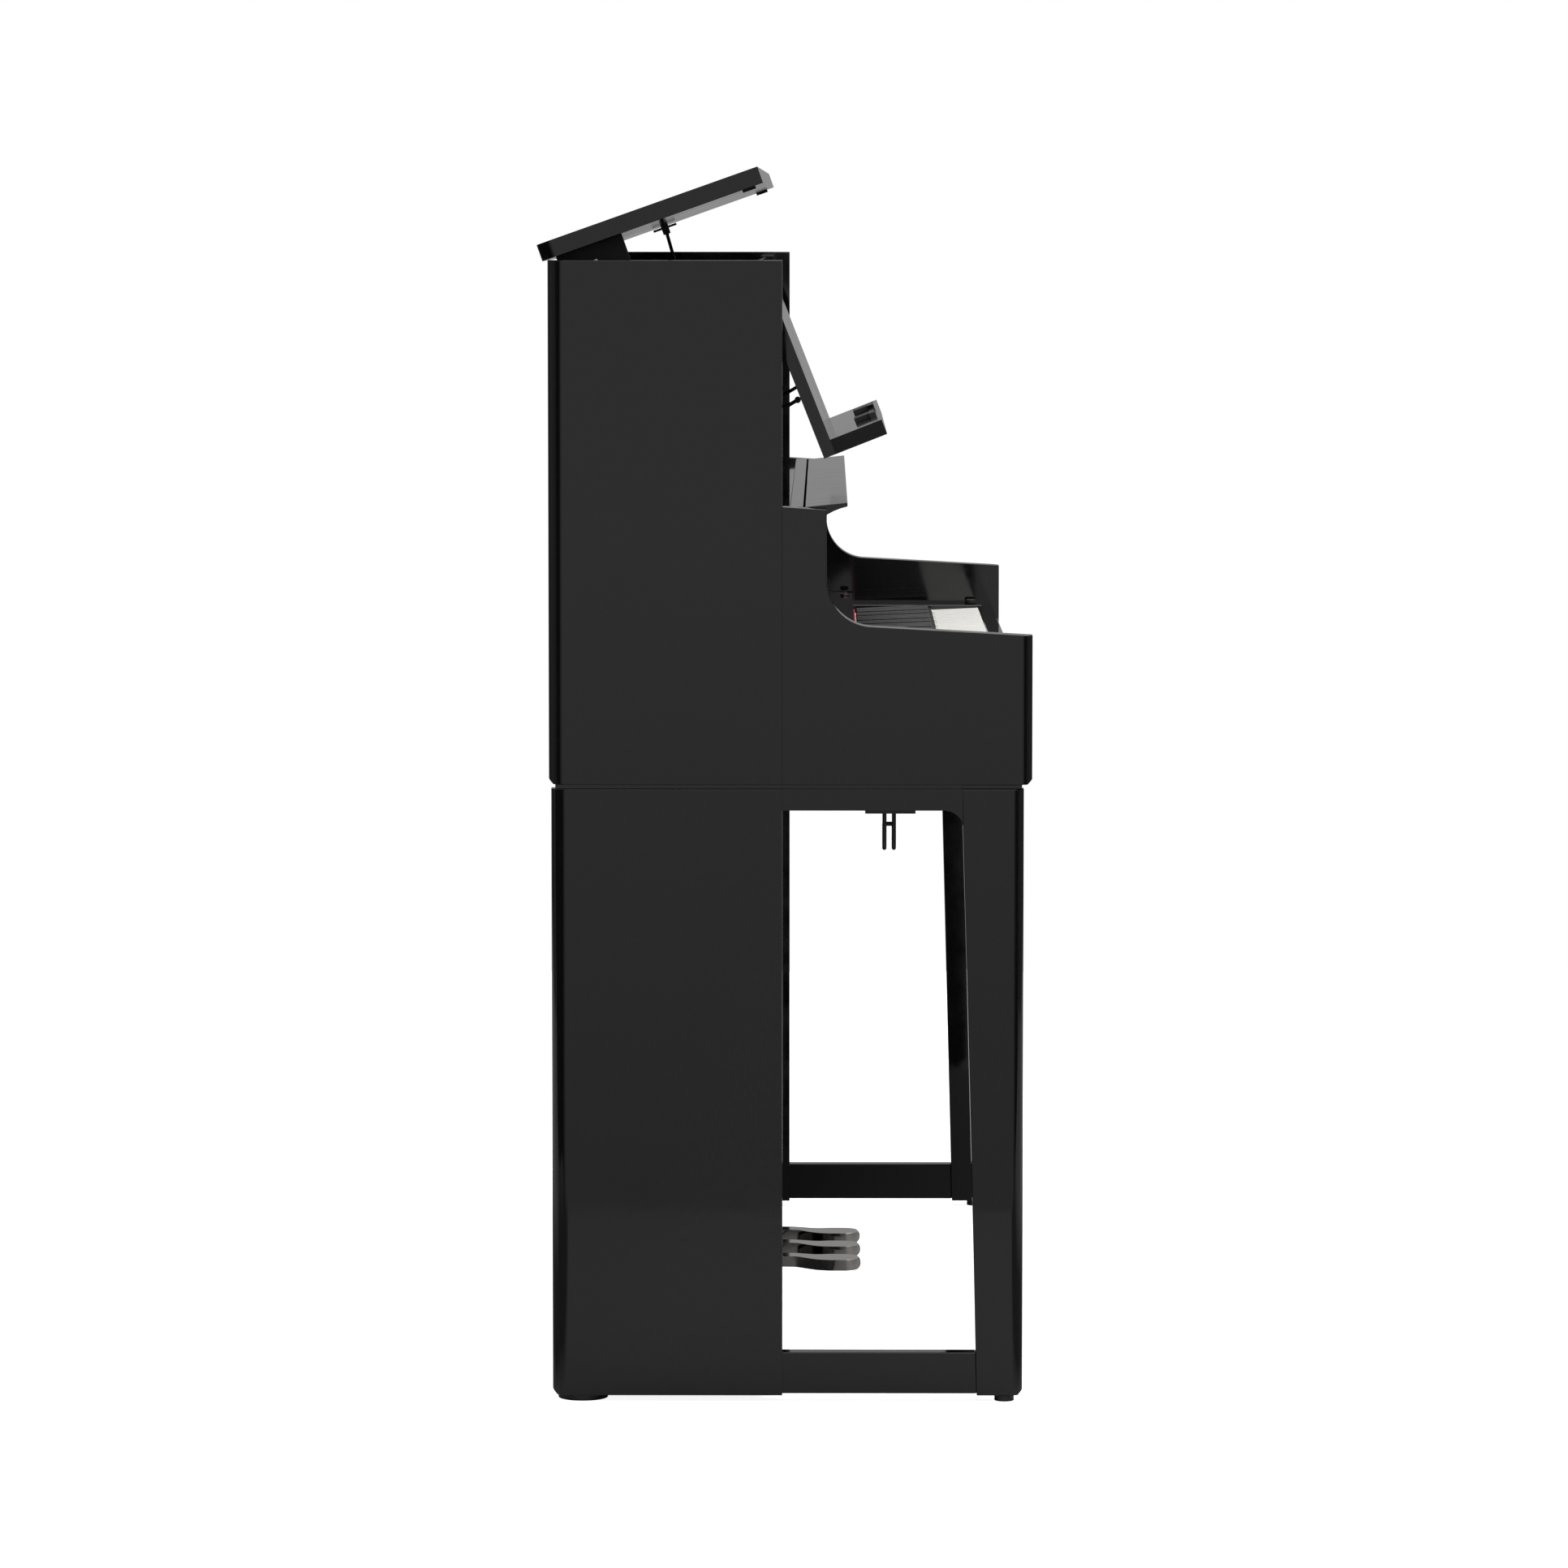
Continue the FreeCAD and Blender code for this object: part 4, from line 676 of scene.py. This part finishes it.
def makeLedgeEndShade(name, side):
    # matte black cap on one end of the music ledge, put there as painted shade to darken the ledge's end
    cap = boardFrom("music_ledge", name)
    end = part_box("music_ledge")[1].x * side
    editing(cap)
    bpy.ops.mesh.select_all(action="SELECT")
    bpy.ops.mesh.bisect(plane_co=(end - side * ledgeEndShadeLook["depth"], 0, 0), plane_no=(side, 0, 0),
                        use_fill=True, clear_inner=True)
    doneEditing()
    cap.data.transform(Matrix.Translation((side * ledgeEndShadeLook["proud"], 0, 0)))
    roundEdges(cap, ledgeEndShadeLook["edge"], ledgeEndShadeLook["segments"])
    finishPiece(cap, "music_rest", mattePaint)


makeLedgeEndShade("ledgeEndShadeBass", -1)
makeLedgeEndShade("ledgeEndShadeTreble", 1)

clothLook = {"thickness": 0.5 * mm, "margin": 14 * mm, "gap": 0.3 * mm, "edge": 0.15 * mm}


def makeGrilleCloth(name, side):
    # black cloth stretched over the front board behind one speaker grille
    low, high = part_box("speaker_grilles")
    inner = min(abs(point.co.x) for point in frame["nodes"]["speaker_grilles"].data.vertices)
    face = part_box("upper_front_board")[0].y
    margin = clothLook["margin"]
    xs = sorted((side * (inner + margin), side * (high.x - margin)))
    back = face - clothLook["gap"]
    piece = addBlock(name, (xs[0], back - clothLook["thickness"], low.z + margin),
                     (xs[1], back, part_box("upper_front_board")[1].z - margin))
    addModifier(piece, "BEVEL", limit_method="ANGLE", width=clothLook["edge"], segments=1)
    finishPiece(piece, "case", cloth)


makeGrilleCloth("grilleClothBass", -1)
makeGrilleCloth("grilleClothTreble", 1)
print("trim made")


# screws

screwLook = {"radius": 4.0 * mm, "height": 2.0 * mm, "sides": 20, "domeShare": 0.45, "recess": 0.9 * mm,
             "recessShare": 0.55, "recessDepth": 0.9 * mm, "turnStep": 1.1}


def makeScrew(name, scale=1.0):
    # pan head with a cross recess, its face towards +Z and its seat at the origin
    radius, height = screwLook["radius"] * scale, screwLook["height"] * scale
    head = addDrum(name, (0, 0, height / 2), radius, height, sides=screwLook["sides"])
    addModifier(head, "BEVEL", limit_method="ANGLE", width=height * screwLook["domeShare"], segments=2)
    wide, long = screwLook["recess"] * scale / 2, radius * screwLook["recessShare"]
    deep = height - screwLook["recessDepth"] * scale
    for x, y in ((wide, long), (long, wide)):
        cutter = addBlock("crossRecess", (-x, -y, deep), (x, y, height * 2))
        addModifier(head, "BOOLEAN", operation="DIFFERENCE", object=cutter, solver="EXACT")
        bpy.data.objects.remove(cutter, do_unlink=True)
    smooth(head, 40)
    return head


def placeScrews(name, body, material, places, facing, scale=1.0):
    # copies of one screw at the given places, with faces along facing
    pattern = makeScrew(name, scale)
    turn = Vector(facing).to_track_quat("Z", "Y").to_matrix().to_4x4()
    copies = []
    for number, place in enumerate(places):
        twin = copyPiece(pattern, (0, 0, 0))
        spin = Matrix.Rotation(number * screwLook["turnStep"], 4, "Z")
        twin.data.transform(Matrix.Translation(Vector(place)) @ turn @ spin)
        copies.append(twin)
    bpy.data.objects.remove(pattern, do_unlink=True)
    screws = joinPieces(name, copies)
    finishPiece(screws, body, material)


panelScrewLook = {"inset": 14 * mm, "gapsAcross": 6, "gapsUp": 3}


def backPanelScrews(nodeName):
    # one screw at each corner of the panel and evenly along its four edges
    low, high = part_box(nodeName)
    inset, across, up = (panelScrewLook[key] for key in ("inset", "gapsAcross", "gapsUp"))
    xs = [low.x + inset + (high.x - low.x - 2 * inset) * step / across for step in range(across + 1)]
    zs = [low.z + inset + (high.z - low.z - 2 * inset) * step / up for step in range(up + 1)]
    rows = [(x, high.y, z) for x in xs for z in (zs[0], zs[-1])]
    columns = [(x, high.y, z) for x in (xs[0], xs[-1]) for z in zs[1:-1]]
    return rows + columns


placeScrews("upperBackScrews", "case", blackSteel, backPanelScrews("upper_back_panel"), (0, 1, 0))
placeScrews("lowerBackScrews", "case", blackSteel, backPanelScrews("lower_back_panel"), (0, 1, 0))

inletScrewLook = {"inset": 4.5 * mm, "scale": 0.6}
inletLow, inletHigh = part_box("power_inlet")
inletScrews = [(x, inletHigh.y, (inletLow.z + inletHigh.z) / 2)
               for x in (inletLow.x + inletScrewLook["inset"], inletHigh.x - inletScrewLook["inset"])]
placeScrews("inletScrews", "case", zinc, inletScrews, (0, 1, 0), inletScrewLook["scale"])

bracketScrewLook = {"columns": (-97 * mm, 0, 97 * mm), "aside": 19 * mm, "up": 3 * mm, "scale": 0.7}
bracketLow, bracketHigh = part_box("pedal_bracket")
bracketMiddle = (bracketLow.y + bracketHigh.y) / 2
bracketScrews = [(x, bracketMiddle + side * bracketScrewLook["aside"], bracketLow.z + bracketScrewLook["up"])
                 for x in bracketScrewLook["columns"] for side in (-1, 1)]
placeScrews("bracketScrews", "case", zinc, bracketScrews, (0, 0, 1), bracketScrewLook["scale"])
print("screws made")


# small details

ringLook = {"thickness": 0.9 * mm, "over": 1.6 * mm}


def makeJackRings():
    # bright threaded nuts round the two headphone sockets
    rings = []
    mounts = [mount for mount in frame["record"]["mounts"] if "headphone_jack" in mount["name"]]
    for mount in mounts:
        place = Vector(mount["pos_m"])
        place.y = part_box("jack_box")[0].y
        radius = mount["dims"]["r_mm"] * mm
        bpy.ops.mesh.primitive_torus_add(location=place, rotation=(math.radians(90), 0, 0),
                                         major_radius=radius + ringLook["over"], minor_radius=ringLook["thickness"],
                                         major_segments=32, minor_segments=10)
        ring = bpy.context.object
        placeInMesh(ring)
        rings.append(ring)
    nuts = joinPieces("jackRings", rings)
    smooth(nuts, 60)
    finishPiece(nuts, "case", chrome)


makeJackRings()

lensLook = {"beside": 14 * mm, "up": 0.3 * mm, "radius": 1.4 * mm, "height": 0.8 * mm, "edge": 0.3 * mm}
buttonLow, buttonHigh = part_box("power_button")
lensPlace = ((buttonLow.x + buttonHigh.x) / 2 - lensLook["beside"], (buttonLow.y + buttonHigh.y) / 2,
             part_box("name_board")[1].z + lensLook["up"])
lampLens = addDrum("powerLens", lensPlace, lensLook["radius"], lensLook["height"], sides=24)
addModifier(lampLens, "BEVEL", limit_method="ANGLE", width=lensLook["edge"], segments=2)
smooth(lampLens, 40)
finishPiece(lampLens, "case", lens)


slotFeltLook = {"half": 11 * mm, "inset": 1.5 * mm, "low": 67.2 * mm, "high": 67.9 * mm}


def makeSlotFelts():
    # black felt lining along the top of each pedal slot keeps the pedals quiet
    low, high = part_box("pedal_rail")
    pads = []
    for nodeName in ("pedal_soft", "pedal_sostenuto", "pedal_damper"):
        left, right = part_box(nodeName)
        middle = (left.x + right.x) / 2
        pads.append(addBlock("slotFelt", (middle - slotFeltLook["half"], low.y + slotFeltLook["inset"],
                                          slotFeltLook["low"]),
                             (middle + slotFeltLook["half"], high.y - slotFeltLook["inset"], slotFeltLook["high"])))
    felts = joinPieces("slotFelts", pads)
    finishPiece(felts, "case", blackFelt)


makeSlotFelts()
print("details made")


# camera, floor and light

cameraLook = {"place": (-7.4804, -0.0447, 1.2117), "down": 4.875, "turn": 0.362, "lens": 154.6, "sensor": 36.0}


def addCamera():
    down, turn = math.radians(cameraLook["down"]), math.radians(cameraLook["turn"])
    sight = Vector((math.cos(down) * math.cos(turn), math.cos(down) * math.sin(turn), -math.sin(down)))
    bpy.ops.object.camera_add(location=cameraLook["place"])
    camera = bpy.context.object
    camera.rotation_euler = sight.to_track_quat("-Z", "Y").to_euler()
    camera.data.lens = cameraLook["lens"]
    camera.data.sensor_width = cameraLook["sensor"]
    camera.data.clip_end = 60
    bpy.context.scene.camera = camera
    return camera


addCamera()

# colour and glow are the floor the camera sees; dim, edge and under are painted shade tones that only reflections see:
# the whole floor, a band beside the piano and the floor under it
floorLook = {"size": (5.2, 7.0), "centre": (0.6, 0.0), "colour": "F7F7F7", "glow": 0.9, "dim": "B4B4B4",
             "edge": "646464", "under": "888888",
             "paintedShadeBesideFrom": (0.27, 0.45), "paintedShadeBesideTo": (1.0, 1.6), "underAlong": (0.6, 0.68), "underAway": (0.3, 0.5)}


def addFloor():
    bpy.ops.mesh.primitive_plane_add(size=1, location=(floorLook["centre"][0], floorLook["centre"][1], 0))
    floor = bpy.context.object
    floor.name = "studioFloor"
    floor.scale = (floorLook["size"][0], floorLook["size"][1], 1)
    placeInMesh(floor)
    material, tree, surface, place = newMaterial("paleFloorPaper")
    tooth = noiseAt(tree, place, 2 * mm, 2.0, 0.5)
    surface.inputs["Base Color"].default_value = linearOf(floorLook["colour"])
    surface.inputs["Roughness"].default_value = 0.9
    surface.inputs["Specular IOR Level"].default_value = 0.1
    bumpFrom(tree, surface, tooth.outputs["Fac"], 0.02 * mm)
    # white to the camera; the lacquer's reflections see a dimmer copy of the floor with painted shade, darkest in a
    # painted dark band beside the piano and darker under it
    seen = addNode(tree, "ShaderNodeEmission", {"Color": (1, 1, 1, 1), "Strength": floorLook["glow"]})
    bright = addNode(tree, "ShaderNodeAddShader", links={0: surface.outputs["BSDF"], 1: seen.outputs[0]})
    spread = addNode(tree, "ShaderNodeSeparateXYZ", links={"Vector": place})
    away = addNode(tree, "ShaderNodeMath", {"operation": "ABSOLUTE"}, {0: spread.outputs["Y"]}).outputs[0]
    along = addNode(tree, "ShaderNodeMath", {"operation": "ABSOLUTE"}, {0: spread.outputs["X"]}).outputs[0]
    # painted shade: a dark band in the reflected floor on either side of the piano
    paintedShadeBeside = addNode(tree, "ShaderNodeMath", {"operation": "MULTIPLY"},
                     {0: rampOf(tree, away, *floorLook["paintedShadeBesideFrom"]),
                      1: rampOf(tree, away, *floorLook["paintedShadeBesideTo"], 1.0, 0.0)}).outputs[0]
    # painted shade: the reflected floor under the piano
    under = addNode(tree, "ShaderNodeMath", {"operation": "MULTIPLY"},
                    {0: rampOf(tree, along, *floorLook["underAlong"], 1.0, 0.0),
                     1: rampOf(tree, away, *floorLook["underAway"], 1.0, 0.0)}).outputs[0]
    beside = mixColours(tree, paintedShadeBeside, linearOf(floorLook["dim"]), linearOf(floorLook["edge"]))
    tone = mixColours(tree, under, linearOf(floorLook["dim"]), linearOf(floorLook["under"]))
    tree.links.new(beside, tone.node.inputs[6])
    # the dimmer copy of the floor, with its painted shade, that only reflections see
    dim = addNode(tree, "ShaderNodeBsdfDiffuse", links={"Color": tone})
    ray = addNode(tree, "ShaderNodeLightPath")
    mixed = addNode(tree, "ShaderNodeMixShader", links={0: ray.outputs["Is Camera Ray"], 1: dim.outputs[0],
                                                        2: bright.outputs[0]})
    output = next(node for node in tree.nodes if node.type == "OUTPUT_MATERIAL")
    tree.links.new(mixed.outputs[0], output.inputs["Surface"])
    floor.data.materials.append(material)
    return floor


addFloor()

studioLook = {"near": 0.62, "far": 0.3, "sides": 0.05, "frontBack": 0.2, "top": 1.2, "below": 0.03,
              "nearEdge": (0.8, 0.97), "farEdge": (0.7, 0.95), "broadEdge": (0.8, 0.95), "lowEdge": (-0.35, -0.05),
              "highEdge": (0.35, 0.85)}


def addStudio():
    # a pale studio: bright overhead, one grey wall beyond each end of the piano, dark before and behind it
    world = bpy.data.worlds.new("studio")
    bpy.context.scene.world = world
    world.use_nodes = True
    tree = world.node_tree
    tree.nodes.clear()
    place = addNode(tree, "ShaderNodeTexCoord")
    parts = addNode(tree, "ShaderNodeSeparateXYZ", links={"Vector": place.outputs["Generated"]})
    toBass = addNode(tree, "ShaderNodeMath", {"operation": "MULTIPLY", 1: -1.0}, {0: parts.outputs["X"]}).outputs[0]
    near = rampOf(tree, toBass, *studioLook["nearEdge"], studioLook["sides"], studioLook["near"])
    far = rampOf(tree, parts.outputs["X"], *studioLook["farEdge"], studioLook["sides"], studioLook["far"])
    across = addNode(tree, "ShaderNodeMath", {"operation": "ABSOLUTE"}, {0: parts.outputs["Y"]}).outputs[0]
    broad = rampOf(tree, across, *studioLook["broadEdge"], 0.0, studioLook["frontBack"])
    ends = addNode(tree, "ShaderNodeMath", {"operation": "MAXIMUM"}, {0: near, 1: far}).outputs[0]
    walls = addNode(tree, "ShaderNodeMath", {"operation": "MAXIMUM"}, {0: ends, 1: broad}).outputs[0]
    lit = addNode(tree, "ShaderNodeMath", {"operation": "MULTIPLY"},
                  {0: walls, 1: rampOf(tree, parts.outputs["Z"], *studioLook["lowEdge"], studioLook["below"], 1.0)}
                  ).outputs[0]
    high = rampOf(tree, parts.outputs["Z"], *studioLook["highEdge"], 0.0, studioLook["top"])
    both = addNode(tree, "ShaderNodeMath", {"operation": "MAXIMUM"}, {0: lit, 1: high})
    light = addNode(tree, "ShaderNodeBackground", {"Color": (1, 1, 1, 1)}, {"Strength": both.outputs[0]})
    plain = addNode(tree, "ShaderNodeBackground", {"Color": (1, 1, 1, 1), "Strength": 1.0})
    ray = addNode(tree, "ShaderNodeLightPath")
    mixed = addNode(tree, "ShaderNodeMixShader", links={0: ray.outputs["Is Camera Ray"], 1: light.outputs[0],
                                                        2: plain.outputs[0]})
    addNode(tree, "ShaderNodeOutputWorld", links={"Surface": mixed.outputs[0]})


addStudio()

lampLook = {"power": 90, "size": 3.0, "height": 3.4}


def addSoftbox(name, place, aim, power, size):
    bpy.ops.object.light_add(type="AREA", location=place)
    lamp = bpy.context.object
    lamp.name = name
    lamp.data.shape = "SQUARE"
    lamp.data.size = size
    lamp.data.energy = power
    lamp.rotation_euler = (Vector(aim) - Vector(place)).to_track_quat("-Z", "Y").to_euler()
    lamp.visible_camera = False
    return lamp


addSoftbox("overheadSoftbox", (-0.6, -1.2, lampLook["height"]), (0, -0.1, 0.6), lampLook["power"], lampLook["size"])
bpy.context.scene.view_settings.view_transform = "Standard"
print("studio made")
